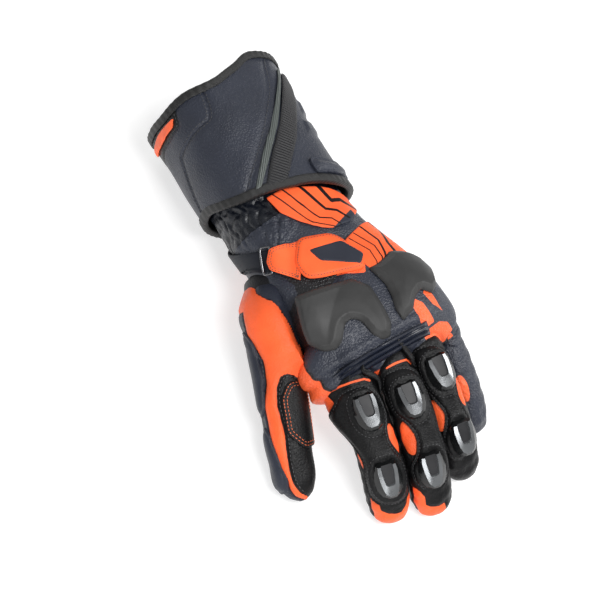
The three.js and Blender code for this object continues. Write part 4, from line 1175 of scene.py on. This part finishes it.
# %% Bindings
def binding(name, edge, way, node_name):
    """A tape folded over an edge of the cuff: way says on which side of the edge its nose is."""
    turn = np.linspace(-180, 180, 321)
    line = around(edge, turn) * CUFF_LENGTH
    nose = np.radians(np.linspace(90, -90, 9))
    middle, reach = -LEATHER / 2, LEATHER / 2 + BINDING_THICKNESS
    face = [(-BINDING_WIDTH, 0.1), (-BINDING_WIDTH, 0.8), (-BINDING_WIDTH + 0.4, 1.15), (-3.2, 1.3),
            (-1.5, 1.35)]
    back = [(-1.5, -3.35), (-3.2, -3.3), (-BINDING_WIDTH + 0.3, -3.1), (-BINDING_WIDTH, -2.1), (0.2, -2.05),
            (0.2, 0.05)]
    section = face + [(BINDING_THICKNESS * np.cos(t), middle + reach * np.sin(t)) for t in nose] + back
    section.append(section[0])
    rows = []
    for shift, offset in section:
        soft = 0.18 * np.sin(turn * 0.9) * (offset > 0)
        rows.append(cuff.points(line + way * shift, turn, offset + soft))
    piece, column, row = flat_grid(name, len(turn) - 1, len(section) - 1)
    place_points(piece, np.array(rows)[row, column])
    lengths = np.array([shift for shift, offset in section])
    mark(piece, along=lengths[row], around=cuff.arc_at(line, turn)[column])
    finish_mesh(piece, angle=40)
    dress(piece, binding_tape, "binding", node_name)


binding("rim_tape", CUFF_RIM, 1, "rim_binding")
binding("skirt_tape", CUFF_SKIRT, -1, "skirt_binding")

# %% Bands, tag and pad of the cuff
REFLECTIVE_STRIP = [(0.185, -0.255), (0.33, -0.113), (0.475, 0.047), (0.737, 0.302), (0.83, 0.39),
                    (0.83, 0.425), (0.746, 0.344), (0.644, 0.25), (0.475, 0.104), (0.305, -0.075),
                    (0.185, -0.212)]
RIBBED_BAND = [(0.17, -0.19), (0.305, -0.058), (0.475, 0.122), (0.644, 0.268), (0.80, 0.415), (0.80, 0.48),
               (0.70, 0.465), (0.50, 0.295), (0.36, 0.18), (0.15, -0.049)]
CUFF_SIDE_PAD = [(0.22, 0.17), (0.17, 0.36), (0.14, 0.60), (0.075, 0.60), (0.085, 0.36), (0.115, 0.16)]
CUFF_TAG = [(0.835, -0.475), (0.795, -0.515), (0.80, -0.715), (0.82, -0.915), (0.86, -0.915), (0.855, -0.685)]


def on_cuff(rows, radius=2.0):
    return rounded(shares(rows, CUFF_LENGTH, CUFF_WIDTH), radius)


def flat_top(thickness, round_over=0.8):
    """A sheet of even thickness whose edge is slightly rolled."""
    return lambda s, arc, depth: GAP + thickness - 0.5 * (1 - ramp(depth, 0, round_over))


strip = panel("silver_strip", cuff, on_cuff(REFLECTIVE_STRIP), flat_top(1.5), 0.8)
dress(strip, reflective_fabric, "reflective_fabric", "reflective_strip")
band = panel("black_band", cuff, on_cuff(RIBBED_BAND), flat_top(1.4), 1.0)
dress(band, ribbed_fabric, "ribbed_fabric", "ribbed_band")
tag = panel("corner_tag", cuff, on_cuff(CUFF_TAG, 1.5), flat_top(1.5), 0.8)
dress(tag, tag_rubber, "tag_rubber", "cuff_tag")


# %% Side pad of the cuff
def quilted(thickness, edge, seam=1.8, under=None):
    """A soft pad: a flat stitched border, a groove and a full middle."""

    def top(s, arc, depth):
        full = edge + (thickness - edge) * np.sin(np.clip((depth - seam) / 5, 0, 1) * math.pi / 2)
        if under:
            full = full + under(s, arc)
        return GAP + full - 0.5 * bell(depth - seam, 0.7)

    return top


side_pad = panel("side_pad", cuff, on_cuff(CUFF_SIDE_PAD, 4), quilted(3.0, 1.6), 1.0)
dress(side_pad, cuff_leather, "navy_leather", "cuff_side_pad")

# %% [markdown]
# ## Guards over the knuckles
# Two moulded shells protect the knuckles. They are matte grey, with a gently crowned face inside a wide
# chamfer that stands on a small upright lip.

# %% Guards
INNER_GUARD = [(0.38, -0.40), (0.43, -0.21), (0.455, -0.065), (0.545, 0.00), (0.675, -0.02), (0.80, -0.045),
               (0.86, -0.09), (0.855, -0.15), (0.81, -0.185), (0.70, -0.20), (0.665, -0.235), (0.67, -0.285),
               (0.75, -0.37), (0.765, -0.42), (0.73, -0.49), (0.645, -0.525), (0.54, -0.48)]
OUTER_GUARD = [(0.45, 0.075), (0.45, 0.14), (0.425, 0.25), (0.405, 0.29), (0.43, 0.40), (0.49, 0.50),
               (0.60, 0.53), (0.71, 0.42), (0.75, 0.33), (0.70, 0.27), (0.73, 0.195), (0.79, 0.13),
               (0.82, 0.03), (0.745, 0.025), (0.66, 0.065), (0.58, 0.085)]


def on_hand(rows, radius=2.0):
    return rounded(shares(rows, HAND_LENGTH, HAND_WIDTH), radius)


def guard_top(s, arc, depth):
    """A small upright lip, a wide chamfer and a gently crowned face."""
    lip = 1.3 * ramp(depth, -0.2, 0.5)
    chamfer = 2.2 * np.clip((depth - 0.7) / 3.4, 0, 1)
    return GAP + 0.5 + lip + chamfer + 0.5 * ramp(depth, 4.1, 14)


for name, rows, radius in (("inner", INNER_GUARD, 2.5), ("outer", OUTER_GUARD, 2)):
    guard = panel(name + "_guard", hand, on_hand(rows, radius), guard_top, 0.7, wall=3.0, bevel=0.25,
                  joins=[("thumb", WEB_WIDTH)], angle=24)
    dress(guard, guard_rubber, "guard_rubber", name + "_knuckle_guard")

# %% [markdown]
# ## Stretch ribs, wrist pad and stripes
# Three glossy rolls let the leather stretch over the finger roots. The wrist pad is orange with a dark inlay.
# The striped leather runs from under the cuff to the outer side of the hand: its black lines are printed, so
# they are drawn as colour.

# %% Stretch ribs
STRETCH_PANEL = [(-0.56, 0.860, 0.940), (-0.45, 0.865, 0.945), (-0.21, 0.870, 0.945), (0.04, 0.873, 0.945),
                 (0.18, 0.874, 0.945)]
RIBS, RIB_HEIGHT = 3, 2.2
stretch = np.array(STRETCH_PANEL) * (HAND_WIDTH, HAND_LENGTH, HAND_LENGTH)
border = np.concatenate((stretch[:, [1, 0]], stretch[::-1, [2, 0]]))


def rib_top(s, arc, depth):
    """Round rolls side by side, which fade at both ends."""
    low, high = (np.interp(arc, stretch[:, 0], stretch[:, column]) for column in (1, 2))
    roll = np.abs(np.sin(math.pi * RIBS * (s - low) / (high - low)))
    ends = ramp(np.minimum(arc - stretch[0, 0], stretch[-1, 0] - arc), 0, 4)
    return GAP + 0.5 + ends * (RIB_HEIGHT * roll**0.8 + 0.15 * np.sin(arc * 0.4))


clear = [(name, 0.4) for name in FINGERS]
ribs = panel("stretch_ribs", hand, border, rib_top, 0.6, bevel=0, clear=clear, joins=[("thumb", WEB_WIDTH)],
             angle=180)
dress(ribs, glossy_leather, "navy_leather", "stretch_panel")

# %% Wrist pad
WRIST_PAD = [(0.085, -0.15), (0.15, 0.045), (0.23, 0.09), (0.30, 0.065), (0.40, 0.085), (0.44, 0.04),
             (0.37, -0.20), (0.325, -0.28), (0.21, -0.27)]
WRIST_INLAY = [(0.185, -0.15), (0.225, 0.05), (0.36, 0.105), (0.405, 0.05), (0.405, 0.035), (0.28, -0.14)]


def wrist_pad_top(s, arc, depth):
    return GAP + 1.2 + 2.0 * np.sin(np.clip(depth / 4, 0, 1) * math.pi / 2)


wrist_cushion = panel("wrist_cushion", hand, on_hand(WRIST_PAD, 5), wrist_pad_top, 0.8)
dress(wrist_cushion, orange_leather, "orange_leather", "wrist_pad")
inlay = panel("dark_inlay", hand, on_hand(WRIST_INLAY), flat_top(3.6, 1.2), 0.7, wall=1.0)
dress(inlay, inlay_leather, "inlay_leather", "wrist_pad_inlay")

# %% Striped leather
STRIPED_PANEL = [(-0.22, -0.17), (-0.22, -0.04), (-0.12, 0.235), (-0.04, 0.41), (0.055, 0.41), (0.13, 0.225),
                 (0.127, 0.08), (0.095, 0.025), (0, -0.065), (-0.10, -0.14)]
UPPER_STRIPES = [
    ([(-26, -14), (5, 0), (12, 8), (17, 14)], 1.1),
    ([(-26, -7), (4, 6), (8, 13), (15, 16)], 1.3),
    ([(-26, 3), (0, 14), (4, 21), (12, 25)], 2.3),
    ([(-26, 14), (-4, 22), (-3, 30), (6, 40)], 3.2),
]


def over_gathers(s):
    """What lies over the gathered wrist stands higher there."""
    return 1.6 * np.clip(-s / 18, 0, 1)


def striped_top(s, arc, depth):
    return GAP + 1.5 + over_gathers(s) - 0.5 * (1 - ramp(depth, 0, 0.9))


striped = panel("striped_leather", hand, on_hand(STRIPED_PANEL, 1.5), striped_top, 0.55,
                clear=[("sleeve", 2.0)])
s, arc = marks(striped)
mark(striped, black_ink=stripe_depth(UPPER_STRIPES, s, arc), navy_ink=depth_in(NAVY_QUAD, s, arc))
dress(striped, orange_leather, "striped_leather", "striped_panel")
outer_stripes = panel("outer_stripes", hand, rounded(STRIPE_FIELD, 3), flat_top(0.5, 0.6), 0.55, wall=1.0,
                      bevel=0.2)
s, arc = marks(outer_stripes)
mark(outer_stripes, black_ink=stripe_depth(LOWER_STRIPES, s, arc), navy_ink=depth_in(NAVY_QUAD, s, arc))
dress(outer_stripes, orange_leather, "orange_leather")

# %% [markdown]
# ## Strap, ring and tab
# A strap comes round the wrist and is held by a wire ring under an orange tab. The tab is a strip folded
# round the ring's bar, so it is thick there and thin where it is sewn down.

# %% Strap
STRAP_WIDTH, STRAP_LENGTH, STRAP_THICKNESS = 15.0, 72.0, 1.6
STRAP_SLANT = math.radians(59)
RING_HEIGHT, RING_WIDTH, RING_WIRE = 19.0, 6.4, 1.5
RING_PLACE = np.array((0.097 * HAND_LENGTH, -0.374 * HAND_WIDTH))
RING_TAB = [(0.055, -0.315), (0.075, -0.225), (0.125, -0.14), (0.31, -0.31), (0.165, -0.385), (0.115, -0.37)]
strap_way = np.array((-math.cos(STRAP_SLANT), -math.sin(STRAP_SLANT)))
strap_side = np.array((math.sin(STRAP_SLANT), -math.cos(STRAP_SLANT)))
ring_height = GAP + STRAP_THICKNESS + GAP + RING_WIRE / 2


def strap_place(along, across):
    return RING_PLACE + np.multiply.outer(along, strap_way) + np.multiply.outer(across, strap_side)


def strap_top(s, arc, depth):
    return GAP + STRAP_THICKNESS + over_gathers(s) - 0.6 * (1 - ramp(depth, 0, 1.2))


half = STRAP_WIDTH / 2
corners = [(-RING_WIDTH, -half), (STRAP_LENGTH, -half), (STRAP_LENGTH, half), (-RING_WIDTH, half)]
outline = rounded([strap_place(*corner) for corner in corners], 2)
strap = panel("wrist_strap_leather", hand, outline, strap_top, 0.9, clear=[("thumb", 2.4), ("sleeve", 2.2)])
dress(strap, strap_leather, "strap_leather", "wrist_strap")


# %% Wire ring
def square(value):
    """Turns a circle into a square with soft corners."""
    return np.sign(value) * np.abs(value) ** 0.35


turn = np.linspace(0, 2 * math.pi, 97)
loop = strap_place(square(np.cos(turn)) * RING_WIDTH / 2, square(np.sin(turn)) * RING_HEIGHT / 2)
outward = np.stack((square(np.cos(turn)) * 0.5, square(np.sin(turn)) * 0.5), -1)
outward /= np.linalg.norm(outward, axis=1, keepdims=True)
rows = []
for t in np.linspace(0, 2 * math.pi, 13):
    reach = RING_WIRE / 2 * math.cos(t) * outward
    place = loop + reach[:, :1] * strap_way + reach[:, 1:] * strap_side
    rows.append(hand.on(place[:, 0], place[:, 1], ring_height + RING_WIRE / 2 * math.sin(t)))
ring, column, row = flat_grid("wire_ring", 96, 12)
place_points(ring, np.array(rows)[row, column])
finish_mesh(ring, angle=60)
dress(ring, ring_steel, "ring_steel", "strap_ring")


# %% Folded tab
def tab_top(s, arc, depth):
    away = -(np.stack((s, arc), -1) - RING_PLACE) @ strap_way
    fade = ramp(away, RING_WIDTH / 2 + RING_WIRE, STRAP_WIDTH)
    folded = ring_height + RING_WIRE / 2 + GAP + 1.0
    return folded + (GAP + 0.9 - folded) * fade - 0.3 * (1 - ramp(depth, 0, 0.9))


tab = panel("folded_tab", hand, on_hand(RING_TAB, 1.5), tab_top, 0.6, wall=1.6, joins=[("thumb", 8)])
dress(tab, orange_leather, "orange_leather", "ring_tab")

# %% [markdown]
# ## Back pads and sliders
# A stuffed pad lies on the back of each finger, drawn in at its waist and full around the hard sliders. A
# slider is glossy plastic: a thin step, a polished chamfer and a sunken channel that opens towards the hand.

# %% Back pads
BACK_PADS = {
    "index": [(19, -14), (18.5, -4), (20, 5), (29, 11), (39, 12), (48, 8), (56, 6.5), (64, 10.5), (72, 15),
              (82, 16), (92, 12), (96, 3), (93, -9), (86, -15), (74, -15.5), (66, -12.5), (58, -15),
              (50, -21), (39, -27), (31, -26), (25, -19)],
    "middle": [(17, -10), (17.5, 4), (24, 14), (38, 16), (50, 15), (60, 12.5), (72, 15), (86, 13), (94, 7),
               (95, -4), (90, -12), (78, -13), (70, -6), (60, -3.5), (51, -7), (42, -14), (26, -15)],
    "ring": [(16, -10), (18, 4), (26, 12), (37, 13), (45, 7.5), (56, 5), (66, 8), (78, 12), (88, 7),
             (93, -6), (86, -13), (76, -13), (68, -8.5), (60, -6), (53, -9), (42, -14), (26, -14)],
}
SLIDER = [(-0.50, 0.50), (-0.34, 0.88), (0.02, 1.00), (0.30, 0.82), (0.50, 0.34)]
SLIDER_LENGTH, SLIDER_WIDTH = 23.0, 15.5
PAD_THICKNESS, PAD_EDGE, PAD_SEAM_INSET = 2.4, 1.2, 1.4
SLIDER_PLACES = {"knuckle": 0.325, "joint": 0.69}


def slider_outline(middle):
    """The footprint of a slider, for the pad and the stitches around it."""
    half = [(middle + a * SLIDER_LENGTH, b * SLIDER_WIDTH / 2) for a, b in SLIDER]
    return rounded(half + [(a, -b) for a, b in half[::-1]], 1.6)


def back_pad_top(name, places):
    """A stitched border, a full middle and a soft rim round each slider."""

    def top(s, arc, depth):
        swell = np.sin(np.clip((depth - PAD_SEAM_INSET) / 4, 0, 1) * math.pi / 2)
        height = GAP + PAD_EDGE + (PAD_THICKNESS - PAD_EDGE) * swell
        height -= 0.5 * bell(depth - PAD_SEAM_INSET, 0.6)
        for middle in places:
            away = -depth_in(slider_outline(middle), s, arc)
            height += 0.7 * bell(away - 2.2, 1.9) * ramp(depth, 0.8, 3.5)
        return height + side_fullness(name, s, arc)

    return top


# %% Lines of a slider
# Each line runs from the rear of the slider to its nose, as lengths and half widths.
BASE_LINE = [(-11.5, 3.8), (-8.4, 6.4), (-1.0, 7.6), (5.0, 6.9), (9.4, 4.7), (11.5, 1.7)]
FOOT_LINE = [(-10.3, 5.0), (-6.6, 5.7), (-0.6, 5.6), (4.6, 4.8), (8.4, 3.6), (10.2, 1.6)]
CREST_LINE = [(-9.4, 4.0), (-6.2, 4.4), (-0.6, 4.1), (3.8, 3.5), (7.0, 2.7), (8.6, 1.3)]
INNER_LINE = [(-9.4, 2.6), (-6.2, 2.7), (-2.0, 2.4), (0.6, 2.15), (1.9, 1.8), (2.4, 0.9)]
FLOOR_LINE = [(-9.9, 2.3), (-6.2, 2.3), (-2.0, 2.1), (0.3, 1.9), (1.4, 1.5), (1.8, 0.75)]


def narrowed(line, share):
    return [(along * share, across * share) for along, across in line]


UNDERSIDE_HEIGHT, FLOOR_HEIGHT = -1.6, 3.0
SLIDER_LINES = [(narrowed(BASE_LINE, 0.97), UNDERSIDE_HEIGHT), (BASE_LINE, -0.4),
                (narrowed(BASE_LINE, 0.97), 1.1), (FOOT_LINE, 2.5), (CREST_LINE, 3.9), (INNER_LINE, 4.4),
                (FLOOR_LINE, FLOOR_HEIGHT)]
POLISHED_ROWS, FLOOR_ROW = (5, 6), 7
SLIDER_LIFT = 0.8


# %% A slider
def slider(name, finger, middle):
    """A hard slider with flat facets. Its grid runs from mid underside to mid channel."""
    lines = [([(along, 0) for along, across in SLIDER_LINES[0][0]], UNDERSIDE_HEIGHT)] + SLIDER_LINES
    lines.append(([(along, 0) for along, across in FLOOR_LINE], FLOOR_HEIGHT))
    columns, rows = 2 * len(BASE_LINE) - 1, len(lines) - 1
    piece, column, row = flat_grid(name, columns, rows)
    grid = []
    for line, height in lines:
        both = line + [(along, -across) for along, across in line[::-1]]
        place = np.array(both, float) + (middle, 0)
        grid.append(finger.on(place[:, 0], place[:, 1], GAP + PAD_THICKNESS + SLIDER_LIFT + height))
    place_points(piece, np.array(grid)[row, column])
    kinds = np.zeros((rows, columns), int)
    kinds[list(POLISHED_ROWS)] = 1
    kinds[FLOOR_ROW] = 2
    for face in piece.data.polygons:
        face.material_index = int(kinds[min(row[i] for i in face.vertices), 0])
    only(piece)
    bpy.ops.object.mode_set(mode="EDIT")
    bpy.ops.mesh.select_all(action="SELECT")
    bpy.ops.mesh.remove_doubles(threshold=MERGE)
    bpy.ops.mesh.fill_holes(sides=0)
    bpy.ops.mesh.normals_make_consistent(inside=False)
    bpy.ops.object.mode_set(mode="OBJECT")
    apply_modifier(piece, "BEVEL", width=0.3 * MM, segments=2, limit_method="ANGLE",
                   angle_limit=math.radians(14))
    only(piece)
    bpy.ops.object.shade_smooth_by_angle(angle=math.radians(40))
    apply_modifier(piece, "WEIGHTED_NORMAL", keep_sharp=True)
    return piece


# %% Pads and sliders on the fingers
back_pads = {}
for name, rows in BACK_PADS.items():
    finger = fingers[name]
    middles = [share * FINGERS[name][0] for share in SLIDER_PLACES.values()]
    pad = panel(name + "_pad", finger, rounded(rows, 4), back_pad_top(name, middles), 0.8, bevel=0.25,
                clear=[("hand", 0.3)], angle=45)
    dress(pad, black_leather, "black_leather", name + "_back_pad")
    back_pads[name] = pad
    for place, middle in zip(SLIDER_PLACES, middles):
        plate = slider(name + "_" + place + "_plate", finger, middle)
        dress(plate, (slider_plastic, slider_facets, slider_floor), "slider_plastic",
              name + "_" + place + "_slider")

# %% [markdown]
# ## Folds between the fingers
# Where two fingers part, the side leather stands up as a small folded loop. It is a narrow strip with a flat
# round section that rises from the ribs and dips into the gap.

# %% Folds
def fold(name, places, width, thick):
    """A folded strip through a few (limb, length, distance around, height)."""
    knots, tops = (np.array([limb.on([s], [arc], height + up)[0] for limb, s, arc, height in places])
                   for up in (0, 1))
    lengths = np.concatenate(([0], np.cumsum(np.linalg.norm(np.diff(knots, axis=0), axis=1))))
    t = np.linspace(0, lengths[-1], 29)
    centre, above = smooth(lengths, knots, t), smooth(lengths, tops - knots, t)
    way = np.gradient(centre, axis=0)
    side = np.cross(way, above)
    side /= np.linalg.norm(side, axis=1, keepdims=True)
    above = np.cross(side, way)
    above /= np.linalg.norm(above, axis=1, keepdims=True)
    size = np.sqrt(np.clip(np.sin(math.pi * np.linspace(0, 1, len(t))), 0, 1))[:, None, None] + 0.02
    turn = np.linspace(0, 2 * math.pi, 17)[None, :, None]
    groove = 1 - 0.35 * bell(np.sin((turn - math.pi / 2) / 2), 0.18)
    grid = centre[:, None] + size * (side[:, None] * np.cos(turn) * width / 2
                                     + above[:, None] * np.sin(turn) * groove * thick / 2)
    piece, column, row = flat_grid(name, 16, len(t) - 1)
    place_points(piece, grid[row, column])
    finish_mesh(piece, angle=60)
    dress(piece, black_leather, "black_leather")


FOLD_WIDTH, FOLD_THICKNESS = 4.2, 3.4
index, middle = fingers["index"], fingers["middle"]
FOLD_PLACES = {
    "fold_1": [(hand, 103, -34, 1.5), (hand, 107, -34, 3.4), (index, 20, 13.5, 3.2), (index, 28, 14.5, 1.0)],
    "fold_2": [(hand, 101, -6, 1.5), (middle, 9, 9, 3.2), (middle, 15, 11, 3.0), (middle, 21, 13, 0.8)],
}
for name, places in FOLD_PLACES.items():
    fold(name, places, FOLD_WIDTH, FOLD_THICKNESS)

# %% [markdown]
# ## Pads and patch of the thumb
# The thumb has two stuffed pads of navy leather on its outer side, and a black grip patch sewn on with
# doubled orange thread.

# %% Thumb pads
THUMB_ROOT_PAD = [(0.33, 0.05), (0.38, 0.24), (0.52, 0.26), (0.64, 0.16), (0.66, 0.00), (0.62, -0.24),
                  (0.50, -0.36), (0.40, -0.24)]
THUMB_TIP_PAD = [(0.69, 0.02), (0.72, 0.16), (0.80, 0.21), (0.91, 0.23), (0.96, 0.12), (0.95, -0.10),
                 (0.86, -0.26), (0.74, -0.22)]
THUMB_PATCH = [(0.60, 0.44), (0.54, 0.56), (0.53, 0.72), (0.55, 0.92), (0.79, 0.92), (0.81, 0.60),
               (0.74, 0.42)]


def on_thumb(rows, radius):
    return rounded(shares(rows, thumb.length, THUMB_WIDTH), radius)


for name, rows in (("root", THUMB_ROOT_PAD), ("tip", THUMB_TIP_PAD)):
    pad_top = quilted(2.6, 1.2, 1.5, thumb_slimness)
    pad = panel("thumb_" + name + "_cushion", thumb, on_thumb(rows, 4), pad_top, 0.8,
                clear=[("hand", 0.3)], joins=[("hand", WEB_WIDTH)])
    dress(pad, thumb_leather, "navy_leather", "thumb_" + name + "_pad")
patch = panel("thumb_grip", thumb, on_thumb(THUMB_PATCH, 3), flat_top(1.5), 0.9, clear=[("hand", 0.3)])
dress(patch, black_leather, "black_leather", "thumb_patch")

# %% [markdown]
# ## Stitches
# Thread shows beside every seam as a row of short raised stitches. One stitch is shaped from a ball with few
# faces, repeated along the rows and dropped on to the leather below.

# %% A row of stitches
def stitches(name, material, slot, rows, pitch=2.7, length=1.9, width=0.6):
    """Rows are (limb, line on it, piece that is sewn). Each stitch is laid on the face of that piece."""
    places = []
    for limb, line, piece in rows:
        path = flowing(line, pitch)
        tops, feet = limb.on(path[:, 0], path[:, 1], 12.0), limb.on(path[:, 0], path[:, 1], -3.0)
        hits = []
        for top, foot in zip(tops, feet):
            way = Vector(foot - top)
            cast = piece.ray_cast(Vector(top) * MM, way.normalized(), distance=way.length * MM)
            hits.append((np.array(cast[1]) / MM, np.array(cast[2])) if cast[0] else None)
        for a, b in zip(hits, hits[1:]):
            if a is None or b is None or not 0.5 * pitch < np.linalg.norm(b[0] - a[0]) < 1.8 * pitch:
                continue
            places.append(((a[0] + b[0]) / 2, b[0] - a[0], a[1] + b[1]))
    middle, along, normal = (np.array(part) for part in zip(*places))
    along /= np.linalg.norm(along, axis=1, keepdims=True)
    side = np.cross(normal, along)
    side /= np.linalg.norm(side, axis=1, keepdims=True)
    above = np.cross(along, side)
    bpy.ops.object.select_all(action="DESELECT")
    bpy.ops.mesh.primitive_uv_sphere_add(segments=6, ring_count=4, radius=0.5)
    piece = bpy.context.object
    piece.name = piece.data.name = name
    one = coordinates(piece)
    apply_modifier(piece, "ARRAY", count=len(places), use_relative_offset=False, use_constant_offset=True,
                   constant_offset_displace=(2, 0, 0))
    shape = (one[None, :, 2, None] * along[:, None] * length + one[None, :, 0, None] * side[:, None] * width
             + one[None, :, 1, None] * above[:, None] * width * 0.8)
    place_points(piece, (middle[:, None] + above[:, None] * 0.12 + shape).reshape(-1, 3))
    only(piece)
    bpy.ops.object.shade_smooth_by_angle(angle=math.radians(60))
    dress(piece, material, slot)


# %% Lines beside a seam
def beside(line, gap):
    """A line moved sideways."""
    path = flowing(line, 1.0)
    way = np.gradient(path, axis=0)
    way /= np.linalg.norm(way, axis=1, keepdims=True)
    return path + gap * np.stack((-way[:, 1], way[:, 0]), -1)


def within(outline, gap):
    """A closed row a little inside an outline."""
    outline = np.array(outline)
    closed = np.concatenate((outline, outline[:1]))
    area = (closed[:-1, 0] * closed[1:, 1] - closed[1:, 0] * closed[:-1, 1]).sum()
    return beside(closed, gap if area > 0 else -gap)


# %% All the stitches
dark_rows = [(hand, beside(WEB_EDGE[1:-2], 0.5), hand_skin)]
for line, gap in ((THUMB_LOW, -1.6), (THUMB_HIGH[2:], 1.6)):
    dark_rows.append((thumb, beside(line, gap), thumb_skin))
cuff_lines = [(PAD_SEAM, -1.6), (PAD_SEAM, 1.8), (CORNER_SEAM[1:5], 1.6), (BAND_SEAM, 1.5), (FAR_SEAM, -1.6)]
for line, gap in cuff_lines:
    dark_rows.append((cuff, beside(line, gap), cuff_skin))
stitches("cuff_and_seam_thread", black_thread, "black_leather", dark_rows)
for name, rows in BACK_PADS.items():
    outlines = [within(rounded(rows, 4), PAD_SEAM_INSET)]
    outlines += [within(slider_outline(share * FINGERS[name][0]), -3.2) for share in SLIDER_PLACES.values()]
    rows_on_pad = [(fingers[name], line, back_pads[name]) for line in outlines]
    stitches(name + "_thread", black_thread, "black_leather", rows_on_pad, 2.1, 1.4, 0.5)
stitches("grip_thread", orange_thread, "orange_leather",
         [(thumb, within(on_thumb(THUMB_PATCH, 3), gap), patch) for gap in (1.4, 3.4)], 2.4, 1.7, 0.5)
tab_rows = [(hand, within(on_hand(RING_TAB, 1.5), gap), tab) for gap in (1.1, 2.5)]
tab_rows += [(hand, within(on_hand(WRIST_PAD, 5), 2.0), wrist_cushion)]
stitches("tab_thread", black_thread, "black_leather", tab_rows, 1.9, 1.2, 0.5)

# %% [markdown]
# ## Floor
# The glove lies on a plain pale table, which has a very slight texture.

# %% Floor
FLOOR_GLOW = 0.6
paper, tree, shader = new_material("pale_floor", (0.55, 0.55, 0.55), 0.7, Emission_Color=(1, 1, 1, 1),
                                   Emission_Strength=FLOOR_GLOW)
grain = node(tree, "TexNoise", {"Vector": millimetres(tree), "Scale": 0.6, "Detail": 3.0}).outputs[0]
bumps(tree, shader, [(grain, 0.05, 0.2)])
bpy.ops.mesh.primitive_plane_add(size=6, location=(0, 0, -0.0002))
floor = bpy.context.object
floor.name = floor.data.name = "pale_floor"
floor.data.materials.append(paper)
